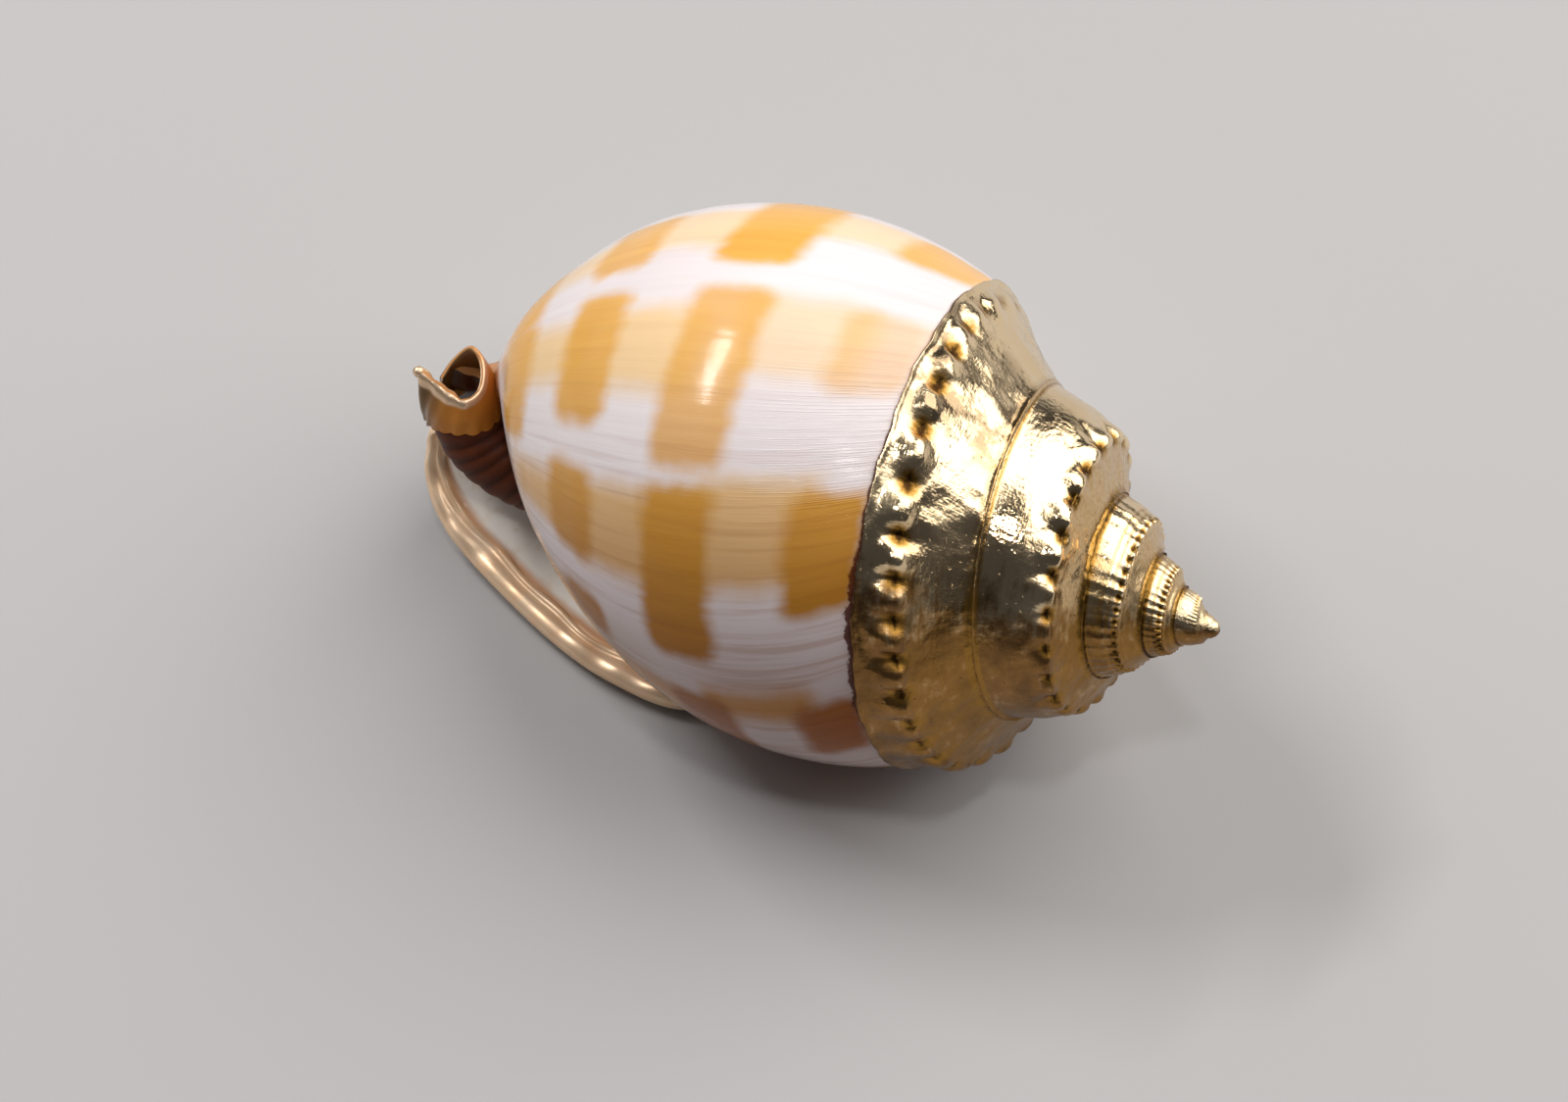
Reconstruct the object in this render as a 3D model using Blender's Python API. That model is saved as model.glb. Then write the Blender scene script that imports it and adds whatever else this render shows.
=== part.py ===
"""A gilded bonnet shell: the natural shell, and the metal cap deposited on its spire.

The shell coils about an axis. A place on it is given by its turn (0 where the body whorl faces front,
growing towards the lip), its distance from the axis and its distance from the apex along the axis.
Lengths are in millimetres until a mesh is made.
"""
import math

import bmesh
import bpy
import numpy as np

MM = 0.001

# Middle of the footprint on the table: the finished object has its origin there
FOOTPRINT_CENTRE = np.array((-34.874, 2.491, 0.0))

# Stance of the shell: it lies on its mouth, apex towards +X and a little up, outer lip towards +Y
APEX_HEIGHT = 22.3
AXIS_TILT = math.radians(9.0)
FRONT_ANGLE = 56.2

# Growth laws: the logarithm of a length as a polynomial in turns
SUTURE_RADIUS = (2.5437, 0.6316, 0.0134)
SUTURE_DEPTH = (2.7884, 0.5458, 0.0120)
TIP_TURN = -3.5
TIP_RATE = 1.6
SHOULDER_RADIUS = (2.8888, 0.4664, -0.0585)
SHOULDER_DEPTH = (3.0210, 0.7480, 0.1031)
SHOULDER_DEPTH_LATE = -0.55
SEAT_START = 0.15
SEAT_SPAN = 0.30
EARLY_SHOULDER = np.array((0.60, 0.32))
EARLY_TURN = -2.6
EARLY_SPAN = 0.7
WALL_RADIUS_RATE = 0.45
WALL_DEPTH_RATE = 0.39
WALL_BLEND = 0.2
EARLY_SWELL = 0.036
BASE_SLOWING = 0.55
FLANK_BULGE = 0.2
RAMP_MIDDLE = 0.55
RAMP_SAG = 0.03

# Side of the body whorl at turn 0, as (distance from the apex, radius)
WALL = ((20.7, 17.96), (27.2, 20.25), (33.3, 21.16), (39.3, 20.81), (45.4, 19.14), (51.4, 16.0),
        (56.5, 11.98), (59.2, 8.6), (60.7, 5.4), (61.3, 2.2))
SUTURE_LEVEL = 25.9
CAP_EDGE_LEVEL = 23.15

LIP_ANGLE = 232.0
CORE_FIRST_TURN = -2.5
CORE_TIP_DEPTH = 3.1
CORE_STEP = 0.05
WALL_THICKNESS = 1.3

# The metal cap: how far its outside stands proud of the bare shell, and how thick it is
CAP_PROUD = 0.30
CAP_THICKNESS = 0.35
CLEARANCE = 0.38
CAP_END_ANGLE = 223.0
CAP_FIRST_TURN = -4.5
CAP_TIP_DEPTH = 0.35
NODULES_PER_TURN = 20
NODULE_HEIGHT = 0.75
NODULE_FULL_RADIUS = 18.0
NODULE_FADE = 0.8
EDGE_FADE = 0.1

# The hollow of the last turn
CAVITY_TURNS = 1.1
CAVITY_STEPS = 24
CAVITY_ROUND_STEPS = 6
CAVITY_PAST_LIP = 0.045
INNER_LEVELS = (26, 30, 35, 40, 45, 50, 54, 57)
PARIETAL_LEVELS = (29, 35, 41, 47, 52, 56)
PARIETAL_GLAZE = 0.4
COLUMELLA_RADIUS = 3.6
COLUMELLA = ((0.3, 44.0), (0.0, 49.0), (0.2, 53.5), (1.4, 57.0))

# Outer lip: height of its middle line, levels it passes, the points that carry it to the spout
LIP_HEIGHT = 1.75
LIP_LEVELS = (24.6, 27.5, 31, 35, 39, 43, 47, 50.5, 53)
LIP_FRONT = ((-61.2, 10.8, 2.8), (-63.9, 8.0, 4.6), (-66.0, 5.2, 7.2), (-67.1, 2.9, 10.4), (-67.7, 1.5, 13.2),
             (-67.7, 1.3, 15.6))
LIP_RADII = (0.9, 1.5, 1.95, 1.9, 1.5, 0.6)
LIP_RADII_AT = (0.0, 0.12, 0.3, 0.7, 0.88, 1.0)
LIP_STATIONS = 51
LIP_SIDES = 10
TEETH_FROM = 0.08
TEETH_TO = 0.66
TEETH_FADE = 0.08
TOOTH_HEIGHT = 0.35
TOOTH_SIDE = math.radians(180)

# Shield: middle of its rolled rim, and its root, front to back
SHIELD_EDGE = ((-68.2, -1.0, 10.4), (-68.7, -1.6, 7.6), (-68.1, -3.0, 4.6), (-64.7, -5.6, 2.6),
               (-57.9, -8.6, 1.8), (-51.1, -11.0, 1.6), (-45.6, -12.0, 1.6), (-40.2, -11.9, 1.7),
               (-34.0, -9.2, 2.6))
SHIELD_ROOT = ((-65.6, -1.0, 12.2), (-65.0, -1.3, 10.8), (-63.6, -1.5, 9.0), (-60.2, -0.8, 7.0),
               (-54.0, 0.9, 5.0), (-48.0, 0.6, 4.4), (-42.0, -1.0, 3.6), (-36.5, -2.5, 3.6),
               (-32.0, -4.0, 4.4))
RIM_RADIUS = 0.95
RIM_STEPS = 6
RIM_FROM = 60
RIM_SWEEP = 240
SHIELD_STATIONS = 21
# The rest of the plate's section, as (share of its width, height over its middle)
PLATE_SECTION = ((0.35, -0.55), (1.0, -0.75), (1.0, 0.75), (0.60, 0.35), (0.28, 0.15))

# Middle lines with radii: the inner pillar that runs on into the ridge left by earlier spout ends and into
# the spout, which turns up; the far wall of the spout; the bore, with the slit that opens it to the mouth
SPOUT = ((-36.0, 1.0, 12.0, 4.0), (-44.0, 1.6, 9.8, 5.0), (-50.5, 1.4, 8.8, 4.7), (-55.5, 0.0, 8.4, 3.9),
         (-59.4, -1.4, 8.8, 3.3), (-62.3, -1.9, 10.0, 3.1), (-64.6, -1.7, 11.3, 2.9),
         (-65.9, -1.2, 13.2, 2.65), (-66.8, -0.8, 15.2, 2.5), (-67.6, -0.5, 17.0, 2.6))
FAR_WALL = ((-47.0, 19.6, 10.0, 1.2), (-51.5, 14.6, 9.2, 3.6), (-56.0, 9.8, 8.6, 4.8), (-59.5, 7.0, 8.2, 4.7),
            (-62.4, 4.9, 9.0, 4.1), (-64.8, 2.2, 11.2, 3.2), (-66.2, 0.2, 14.2, 2.4))
BORE = ((-43.0, 9.5, 8.5, 3.0), (-48.5, 8.6, 7.6, 3.5), (-53.0, 7.2, 7.2, 3.3), (-57.0, 5.6, 7.2, 3.0),
        (-61.0, 3.4, 7.9, 2.6), (-64.2, 1.0, 9.8, 2.15), (-65.9, -0.6, 12.6, 1.9), (-66.8, -0.8, 15.2, 1.85),
        (-68.1, -0.4, 18.8, 2.2))
SLIT_LENGTH = 9.0
SLIT_FACING = 0.35
SPOUT_STATIONS = 20
FAR_WALL_STATIONS = 12
BORE_STATIONS = 17
TUBE_SIDES = 14

# Blocks cut away: what hangs in the mouth under the growing edge, and what is under the table's plane
MOUTH_BLOCK = ((-90, 8, -20), (10, 60, 1.2))
TABLE_BLOCK = ((-90, -60, -20), (10, 60, 0.0))

COLUMNS_PER_TURN = 40

SHELL_FINISH = {"colour": (0.86, 0.74, 0.58), "roughness": 0.25, "metallic": 0.0}
GOLD_FINISH = {"colour": (0.83, 0.69, 0.42), "roughness": 0.22, "metallic": 1.0}


def turn_of(angle):
    """Turn at a growth angle in degrees, measured from the near side up over the back."""
    return (angle - FRONT_ANGLE) / 360.0


LIP_TURN = turn_of(LIP_ANGLE)


def law(coefficients, turn):
    return math.exp(sum(c * turn ** k for k, c in enumerate(coefficients)))


def ease(t):
    t = min(max(t, 0.0), 1.0)
    return t * t * (3.0 - 2.0 * t)


def place(turn, radius, depth):
    """Point in space, in millimetres, from turn, radius and distance from the apex."""
    angle = math.radians(FRONT_ANGLE + 360.0 * turn)
    near = radius * math.cos(angle)
    up = radius * math.sin(angle)
    tilt_c, tilt_s = math.cos(AXIS_TILT), math.sin(AXIS_TILT)
    return np.array((-depth * tilt_c - up * tilt_s,
                     -near,
                     APEX_HEIGHT - depth * tilt_s + up * tilt_c))


AXIS = place(0.0, 0.0, -1.0) - place(0.0, 0.0, 0.0)


def curve_through(points, count):
    """Smooth curve through points (Catmull-Rom), sampled at equal steps of its parameter."""
    pts = np.asarray(points, float)
    spans = len(pts) - 1
    out = []
    for k in range(count):
        s = k * spans / (count - 1)
        i = min(int(s), spans - 1)
        f = s - i
        p1, p2 = pts[i], pts[i + 1]
        p0 = pts[i - 1] if i > 0 else 2 * p1 - p2
        p3 = pts[i + 2] if i + 1 < spans else 2 * p2 - p1
        out.append(0.5 * (2 * p1 + (p2 - p0) * f + (2 * p0 - 5 * p1 + 4 * p2 - p3) * f ** 2
                          + (3 * p1 - p0 - 3 * p2 + p3) * f ** 3))
    return np.array(out)


WALL_CURVE = curve_through(WALL, 91)


def wall_radius_at(level):
    return float(np.interp(level, WALL_CURVE[:, 0], WALL_CURVE[:, 1]))


def swell(turn):
    """The early part of the body whorl is a little wider than its growth law says."""
    return 1.0 + EARLY_SWELL * ease((-0.25 - turn) / 0.28)


def wall_point(level, turn):
    """(radius, depth) of the body whorl's side at a level that is measured at turn 0."""
    late = BASE_SLOWING * max(0.0, turn - 0.1) * ease((level - 48.0) / 10.0)
    return np.array((wall_radius_at(level) * math.exp(WALL_RADIUS_RATE * turn) * swell(turn),
                     level * math.exp(WALL_DEPTH_RATE * (turn - late))))


def suture(turn):
    """(radius, depth) of the seam above the whorl at this turn."""
    radius, depth = law(SUTURE_RADIUS, max(turn, TIP_TURN)), law(SUTURE_DEPTH, max(turn, TIP_TURN))
    closing = math.exp(TIP_RATE * min(turn - TIP_TURN, 0.0))
    radius, depth = radius * closing, depth * closing
    seat = wall_point(SUTURE_LEVEL, turn - 1.0)
    seated = ease((turn - SEAT_START) / SEAT_SPAN)
    return np.array((radius, depth)) * (1 - seated) + seat * seated


def shoulder(turn):
    """(radius, depth) of the shoulder, where the ramp turns down into the side."""
    depth_law = SHOULDER_DEPTH if turn < 0 else SHOULDER_DEPTH[:2] + (SHOULDER_DEPTH_LATE,)
    free = np.array((law(SHOULDER_RADIUS, turn), law(depth_law, turn)))
    top, foot = suture(turn), suture(turn + 1.0)
    early = top + (foot - top) * EARLY_SHOULDER
    return early + (free - early) * ease((turn - EARLY_TURN) / EARLY_SPAN)


def side_point(level, turn):
    """Point of the whorl's side between shoulder and seam, at a level of the body whorl."""
    edge, foot = shoulder(turn), suture(turn + 1.0)
    share = (level - WALL[0][0]) / (SUTURE_LEVEL - WALL[0][0])
    down = foot - edge
    free = edge + share * down + np.array((down[1], -down[0])) * FLANK_BULGE * share * (1 - share)
    onto_wall = ease((turn - (LIP_TURN - 1.0)) / WALL_BLEND)
    if onto_wall == 0.0:
        return free
    return free * (1 - onto_wall) + wall_point(level, turn) * onto_wall


def seam_point(turn):
    """Point where the next whorl meets this one, and where it would on the last turn."""
    if turn <= LIP_TURN - 1.0 + 1e-6:
        return suture(turn + 1.0)
    onto_wall = ease((turn - (LIP_TURN - 1.0)) / WALL_BLEND)
    return suture(turn + 1.0) * (1 - onto_wall) + wall_point(SUTURE_LEVEL, turn) * onto_wall


def ramp_point(turn):
    top, edge = suture(turn), shoulder(turn)
    along = edge - top
    return top + RAMP_MIDDLE * along + np.array((0.0, RAMP_SAG)) * np.linalg.norm(along)


class Strip:
    """The shell's outside as one spiral strip, each turn sharing its top row with the turn before."""

    def __init__(self, first, last, per_turn, section_of, seam_row, body_from, full_rows, tip_depth):
        count = int(round((last - first) * per_turn))
        self.turns = [last - (count - i) / per_turn for i in range(count + 1)]
        self.per_turn = per_turn
        self.seam_row = seam_row
        self.points = []
        self.index = []
        self.where = []
        for i, turn in enumerate(self.turns):
            rows = section_of(turn)
            top = full_rows if turn >= body_from - 1e-6 else seam_row
            column = []
            for j in range(top + 1):
                if j == 0 and i >= per_turn:
                    column.append(self.index[i - per_turn][seam_row])
                    continue
                column.append(len(self.points))
                self.points.append(place(turn, rows[j][0], rows[j][1]))
                self.where.append((turn, j))
            self.index.append(column)
        self.faces = []
        for i in range(count):
            a, b = self.index[i], self.index[i + 1]
            for j in range(min(len(a), len(b)) - 1):
                self.faces.append((a[j], b[j], b[j + 1], a[j + 1]))
        self.wall_faces = len(self.faces)
        self.close_apex(tip_depth)

    def close_apex(self, tip_depth):
        pole = self.pole = len(self.points)
        self.points.append(place(self.turns[0], 0.0, tip_depth))
        self.where.append((self.turns[0], 0))
        first = self.index[0]
        for i in range(self.per_turn):
            self.faces.append((pole, self.index[i + 1][0], self.index[i][0]))
        for j in range(self.seam_row):
            self.faces.append((pole, first[j], first[j + 1]))

    def normals(self):
        """Outward vertex normals, weighted by face area, each within its own half plane of the axis."""
        pts = np.array(self.points)
        out = np.zeros_like(pts)
        for face in self.faces[:self.wall_faces]:
            p = pts[list(face)]
            n = np.cross(p[2] - p[0], p[3] - p[1])
            for v in face:
                out[v] += n
        for k, (turn, row) in enumerate(self.where):
            growth = place(turn + 0.25, 1.0, 0.0) - place(turn, 0.0, 0.0)
            out[k] -= growth * (out[k] @ growth)
        out[self.pole] = AXIS
        out /= np.maximum(np.linalg.norm(out, axis=1)[:, None], 1e-12)
        return out


def finish(obj, name, colour, roughness, metallic):
    material = bpy.data.materials.new(name)
    material.use_nodes = True
    shader = material.node_tree.nodes["Principled BSDF"]
    shader.inputs["Base Color"].default_value = (*colour, 1.0)
    shader.inputs["Roughness"].default_value = roughness
    shader.inputs["Metallic"].default_value = metallic
    material.diffuse_color = (*colour, 1.0)
    obj.data.materials.append(material)


def new_collection(name):
    collection = bpy.data.collections.new(name)
    bpy.context.scene.collection.children.link(collection)
    return collection


def in_frame(point):
    """A point in millimetres from the apex's foot, as metres from the footprint's centre."""
    return (np.asarray(point, float) - FOOTPRINT_CENTRE) * MM


def mesh_object(name, points, faces, collection, smooth_angle=35.0):
    """Object from points in millimetres, with its faces turned outward."""
    mesh = bpy.data.meshes.new(name)
    mesh.from_pydata([tuple(in_frame(p)) for p in points], [], faces)
    bm = bmesh.new()
    bm.from_mesh(mesh)
    bmesh.ops.recalc_face_normals(bm, faces=bm.faces)
    if bm.calc_volume(signed=True) < 0:
        bmesh.ops.reverse_faces(bm, faces=bm.faces)
    bm.to_mesh(mesh)
    bm.free()
    mesh.shade_smooth()
    mesh.set_sharp_from_angle(angle=math.radians(smooth_angle))
    obj = bpy.data.objects.new(name, mesh)
    collection.objects.link(obj)
    return obj


def guide(obj):
    obj.hide_render = True
    obj.display_type = "WIRE"
    return obj


def combine(obj, other, operation):
    """Boolean of two closed meshes. The manifold solver keeps the thin, nearly touching walls closed here,
    where the exact one opens an edge at the unions after the hollow."""
    modifier = obj.modifiers.new(operation.title() + " " + other.name, "BOOLEAN")
    modifier.operation = operation
    modifier.solver = "MANIFOLD"
    modifier.object = other


def loft(name, rings, collection):
    """Closed solid through rings of equal count, with flat ends."""
    points = [p for ring in rings for p in ring]
    n = len(rings[0])
    faces = [tuple(range(n)), tuple(range((len(rings) - 1) * n, len(rings) * n))]
    for i in range(len(rings) - 1):
        for j in range(n):
            k = (j + 1) % n
            faces.append((i * n + j, i * n + k, (i + 1) * n + k, (i + 1) * n + j))
    return mesh_object(name, points, faces, collection)


def tube_rings(path, radii, sides, shape=None):
    """Rings square to a path, carried along it without twist."""
    path = np.asarray(path)
    tangents = np.gradient(path, axis=0)
    tangents /= np.linalg.norm(tangents, axis=1)[:, None]
    normal = np.cross(tangents[0], (0.0, 0.0, 1.0))
    normal /= np.linalg.norm(normal)
    rings = []
    for k, (p, t) in enumerate(zip(path, tangents)):
        normal = normal - t * (normal @ t)
        normal /= np.linalg.norm(normal)
        binormal = np.cross(t, normal)
        ring = []
        for s in range(sides):
            angle = 2 * math.pi * s / sides
            r = radii[k] if shape is None else radii[k] * shape(k, angle)
            ring.append(p + r * (math.cos(angle) * normal + math.sin(angle) * binormal))
        rings.append(ring)
    return rings


# The shell: envelope of the whorls, hollow, lip, shield and spout

SHELL_SEAM_ROW = 5
REBATE_ROW = 3
REBATE_LEVELS = (CAP_EDGE_LEVEL + 0.35, CAP_EDGE_LEVEL + 0.50)
EVEN_LEVELS = (22.4, 24.2)
REBATE_NARROWS = 1.05
REBATE_SPAN = 0.25
BASE_LEVELS = (29.0, 32.5, 36.0, 39.5, 43.0, 46.5, 49.5, 52.0, 54.4, 56.5, 58.4, 59.8, 60.7, 61.2)


def shell_rows(turn):
    rows = [suture(turn), ramp_point(turn), shoulder(turn)]
    early = ease((LIP_TURN - REBATE_NARROWS - turn) / REBATE_SPAN)
    for rebate, even in zip(REBATE_LEVELS, EVEN_LEVELS):
        rows.append(side_point(rebate + (even - rebate) * early, turn))
    rows.append(seam_point(turn))
    return rows + [wall_point(level, turn) for level in BASE_LEVELS]


def whorls_solid(collection):
    """Solid envelope of all whorls, its growing end closed by a flat step at the lip."""
    rows = SHELL_SEAM_ROW + len(BASE_LEVELS)
    strip = Strip(CORE_FIRST_TURN + CORE_STEP, LIP_TURN, COLUMNS_PER_TURN, shell_rows, SHELL_SEAM_ROW,
                  LIP_TURN - 1.0, rows, CORE_TIP_DEPTH)
    points = np.array(strip.points)
    inset = np.zeros(len(points))
    for k, (turn, row) in enumerate(strip.where):
        if row < REBATE_ROW or turn < LIP_TURN - 1.0 + 1e-6:
            inset[k] = CAP_THICKNESS + CLEARANCE
        elif row == REBATE_ROW:
            inset[k] = CAP_THICKNESS + CLEARANCE - CAP_PROUD
    points = points - strip.normals() * inset[:, None]
    faces = list(strip.faces)
    first_column = len(strip.turns) - 1 - COLUMNS_PER_TURN
    first, last = strip.index[first_column], strip.index[-1]
    pole = len(points)
    middle_turn = LIP_TURN - 0.5
    base_tip = place(middle_turn, 0.0, WALL[-1][0] * math.exp(WALL_DEPTH_RATE * middle_turn))
    points = np.vstack([points, base_tip])
    for i in range(first_column, len(strip.turns) - 1):
        faces.append((strip.index[i][-1], strip.index[i + 1][-1], pole))
    faces.append((*first[SHELL_SEAM_ROW:], pole, *reversed(last[1:])))
    return mesh_object("shell", points, faces, collection)


def mouth_ring(turn, shrink=1.0):
    """Section of the hollow at a turn: inside of the wall, and outside of the whorl before it."""
    outer = [shoulder(turn)] + [wall_point(level, turn) for level in INNER_LEVELS]
    outer = np.array(outer)
    slope = np.gradient(outer, axis=0)
    slope /= np.linalg.norm(slope, axis=1)[:, None]
    inward = np.stack([-slope[:, 1], slope[:, 0]], 1)
    outer = outer + inward * WALL_THICKNESS
    grown = math.exp(WALL_RADIUS_RATE * turn)
    deep = math.exp(WALL_DEPTH_RATE * turn)
    inner = [wall_point(level, turn - 1.0) for level in PARIETAL_LEVELS]
    inner = [p + (PARIETAL_GLAZE, 0.0) for p in inner]
    inner += [np.array((COLUMELLA_RADIUS * grown + wider, level * deep)) for wider, level in COLUMELLA]
    ring = np.array([*outer, *inner[::-1]])
    middle = ring.mean(axis=0)
    ring = middle + (ring - middle) * shrink
    return [place(turn, p[0], p[1]) for p in ring]


def hollow(collection):
    """Cutter for the inside of the last turn, from beyond the mouth to a rounded end."""
    rings = []
    start = LIP_TURN + CAVITY_PAST_LIP
    for k in range(CAVITY_STEPS + 1):
        turn = start - CAVITY_TURNS * k / CAVITY_STEPS
        left = (CAVITY_STEPS - k) / CAVITY_ROUND_STEPS
        rings.append(mouth_ring(turn, math.sqrt(max(0.08, 1 - (1 - min(left, 1.0)) ** 2))))
    return guide(loft("hollow", rings, collection))


def lip_angle_at(level, height):
    """Growth angle at which the wall comes down to a height, found by halving."""
    low, high = 200.0, 262.0
    for _ in range(24):
        mid = 0.5 * (low + high)
        turn = turn_of(mid)
        if place(turn, *wall_point(level, turn))[2] > height:
            low = mid
        else:
            high = mid
    return 0.5 * (low + high)


def lip_path():
    """Middle line of the thick outer lip, from the back corner of the mouth to the spout."""
    points = []
    for level in LIP_LEVELS:
        turn = turn_of(lip_angle_at(level, LIP_HEIGHT))
        points.append(place(turn, *wall_point(level, turn)))
    return points + [np.array(p) for p in LIP_FRONT]


def lip_roll(collection):
    """Rolled outer lip with a row of teeth along its inner side."""
    controls = lip_path()
    path = curve_through(controls, LIP_STATIONS)
    share = np.linspace(0.0, 1.0, LIP_STATIONS)
    radii = np.interp(share, LIP_RADII_AT, LIP_RADII)

    def shape(k, angle):
        facing = max(0.0, math.cos(angle - TOOTH_SIDE)) ** 2
        wave = 0.5 - 0.5 * math.cos(math.pi * k)
        toothed = ease((share[k] - TEETH_FROM) / TEETH_FADE) * ease((TEETH_TO - share[k]) / TEETH_FADE)
        return 1.0 + TOOTH_HEIGHT * facing * wave * toothed

    return guide(loft("lip_roll", tube_rings(path, radii, LIP_SIDES, shape), collection))


def shield_plate(collection):
    """Plate over the inner side of the mouth, with a thick rolled rim along its free edge."""
    edge = curve_through(SHIELD_EDGE, SHIELD_STATIONS)
    root = curve_through(SHIELD_ROOT, SHIELD_STATIONS)
    tangents = np.gradient(edge, axis=0)
    rings = []
    for k in range(SHIELD_STATIONS):
        across = root[k] - edge[k]
        width = np.linalg.norm(across)
        across = across / width
        lift = np.cross(tangents[k], across)
        lift /= np.linalg.norm(lift)
        ring = []
        for s in range(RIM_STEPS + 1):
            angle = math.radians(RIM_FROM + RIM_SWEEP * s / RIM_STEPS)
            ring.append((RIM_RADIUS * math.cos(angle), RIM_RADIUS * math.sin(angle)))
        ring += [(share * width, height) for share, height in PLATE_SECTION]
        rings.append([edge[k] + across * p + lift * q for p, q in ring])
    return guide(loft("shield_plate", rings, collection))


def tube(name, line, stations, collection):
    """Tube along a middle line whose points carry its radius."""
    path = curve_through([p[:3] for p in line], stations)
    radii = curve_through([(p[3], 0.0) for p in line], stations)[:, 0]
    return guide(loft(name, tube_rings(path, radii, TUBE_SIDES), collection))


def spout_bore(collection):
    """Cutter for the channel: a round bore with a slit along its mouth side."""
    path = curve_through([p[:3] for p in BORE], BORE_STATIONS)
    radii = curve_through([(p[3], 0.0) for p in BORE], BORE_STATIONS)[:, 0]
    ways = np.cross(np.gradient(path, axis=0), (0.0, 1.0, 0.0))
    rings = tube_rings(path, radii, TUBE_SIDES)
    for k, ring in enumerate(rings):
        way = ways[k] / np.linalg.norm(ways[k])
        for j, p in enumerate(ring):
            facing = (p - path[k]) @ way / radii[k]
            ring[j] = p + way * SLIT_LENGTH * ease((facing - SLIT_FACING) / SLIT_FACING)
    return guide(loft("spout_bore", rings, collection))


# The metal cap

CAP_SEAM_ROW = 5
CAP_EDGE_ROW = 4
NODULE_ROWS = {2: 0.2, 3: 1.0}
EDGE_ROWS = {3: 0.5, 4: 1.0}


def cap_rows(turn):
    ramp, edge, rim = ramp_point(turn), shoulder(turn), side_point(CAP_EDGE_LEVEL, turn)
    return [suture(turn), ramp, edge, edge + 0.3 * (rim - edge), rim, seam_point(turn)]


def cap_strip(first, tip_depth):
    cap_end = turn_of(CAP_END_ANGLE)
    return Strip(first, cap_end, COLUMNS_PER_TURN, cap_rows, CAP_SEAM_ROW,
                 cap_end - 1.0 + 0.5 / COLUMNS_PER_TURN, CAP_EDGE_ROW, tip_depth)


def edge_lift(strip):
    """How far each point stands proud of the bare shell: only along the free edge."""
    first = turn_of(CAP_END_ANGLE) - 1.0
    return np.array([CAP_PROUD * EDGE_ROWS.get(row, 0.0) * ease((turn - first) / EDGE_FADE)
                     for turn, row in strip.where])


def spire_cap(collection):
    """Thin metal skin over the spire and shoulder, solid at the tip, with nodules on the shoulders."""
    outer = cap_strip(CAP_FIRST_TURN, CAP_TIP_DEPTH)
    inner = cap_strip(CORE_FIRST_TURN, CORE_TIP_DEPTH)
    lift = edge_lift(outer)
    per_nodule = COLUMNS_PER_TURN // NODULES_PER_TURN
    for k, (turn, row) in enumerate(outer.where):
        column = int(round((outer.turns[-1] - turn) * COLUMNS_PER_TURN))
        if row in NODULE_ROWS and column % per_nodule == 0:
            size = min(1.0, law(SHOULDER_RADIUS, turn) / NODULE_FULL_RADIUS)
            size *= ease((turn - TIP_TURN) / NODULE_FADE)
            lift[k] += NODULE_HEIGHT * size * NODULE_ROWS[row]
    outside = np.array(outer.points) + outer.normals() * lift[:, None]
    inside = np.array(inner.points) + inner.normals() * (edge_lift(inner) - CAP_THICKNESS)[:, None]
    points = np.vstack([outside, inside])
    shift = len(outside)
    faces = list(outer.faces) + [tuple(shift + v for v in reversed(f)) for f in inner.faces]
    partner = {}
    offset = len(outer.turns) - len(inner.turns)
    for i, column in enumerate(inner.index):
        for j, v in enumerate(column):
            partner[outer.index[i + offset][j]] = v + shift
    used = {}
    for face in outer.faces:
        for a, b in zip(face, face[1:] + face[:1]):
            used[(a, b)] = True
    for a, b in list(used):
        if (b, a) not in used:
            faces.append((b, a, partner[a], partner[b]))
    return mesh_object("spire_cap", points, faces, collection)


def block(name, low, high, collection):
    low, high = np.array(low), np.array(high)
    bm = bmesh.new()
    bmesh.ops.create_cube(bm, size=1.0)
    for v in bm.verts:
        v.co = in_frame((low + high) / 2 + (high - low) * np.array(v.co))
    mesh = bpy.data.meshes.new(name)
    bm.to_mesh(mesh)
    bm.free()
    obj = bpy.data.objects.new(name, mesh)
    collection.objects.link(obj)
    return guide(obj)


def main():
    for obj in list(bpy.data.objects):
        bpy.data.objects.remove(obj)
    parts = new_collection("bonnet_shell")
    guides = new_collection("cutters")
    shell = whorls_solid(parts)
    finish(shell, "glossy_shell", **SHELL_FINISH)
    combine(shell, hollow(guides), "DIFFERENCE")
    combine(shell, block("mouth_cut", *MOUTH_BLOCK, guides), "DIFFERENCE")
    combine(shell, tube("far_wall", FAR_WALL, FAR_WALL_STATIONS, guides), "UNION")
    combine(shell, tube("spout_solid", SPOUT, SPOUT_STATIONS, guides), "UNION")
    combine(shell, shield_plate(guides), "UNION")
    combine(shell, lip_roll(guides), "UNION")
    combine(shell, spout_bore(guides), "DIFFERENCE")
    combine(shell, block("table_cut", *TABLE_BLOCK, guides), "DIFFERENCE")
    cap = spire_cap(parts)
    finish(cap, "pale_gold", **GOLD_FINISH)


main()
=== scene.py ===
# %% [markdown]
# # A bonnet shell with a gilded spire
# A sea snail built this shell, and a workshop then grew a skin of metal over its spire. We remake both by
# the rule that the snail follows: one outline, carried round an axis while it grows. First we load the
# measured model, which is the plain solid that our detailed pieces stand for.

# %% Load the measured model
import math

import bmesh
import bpy
import numpy as np
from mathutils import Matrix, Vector, kdtree, noise
from mathutils.bvhtree import BVHTree


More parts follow.
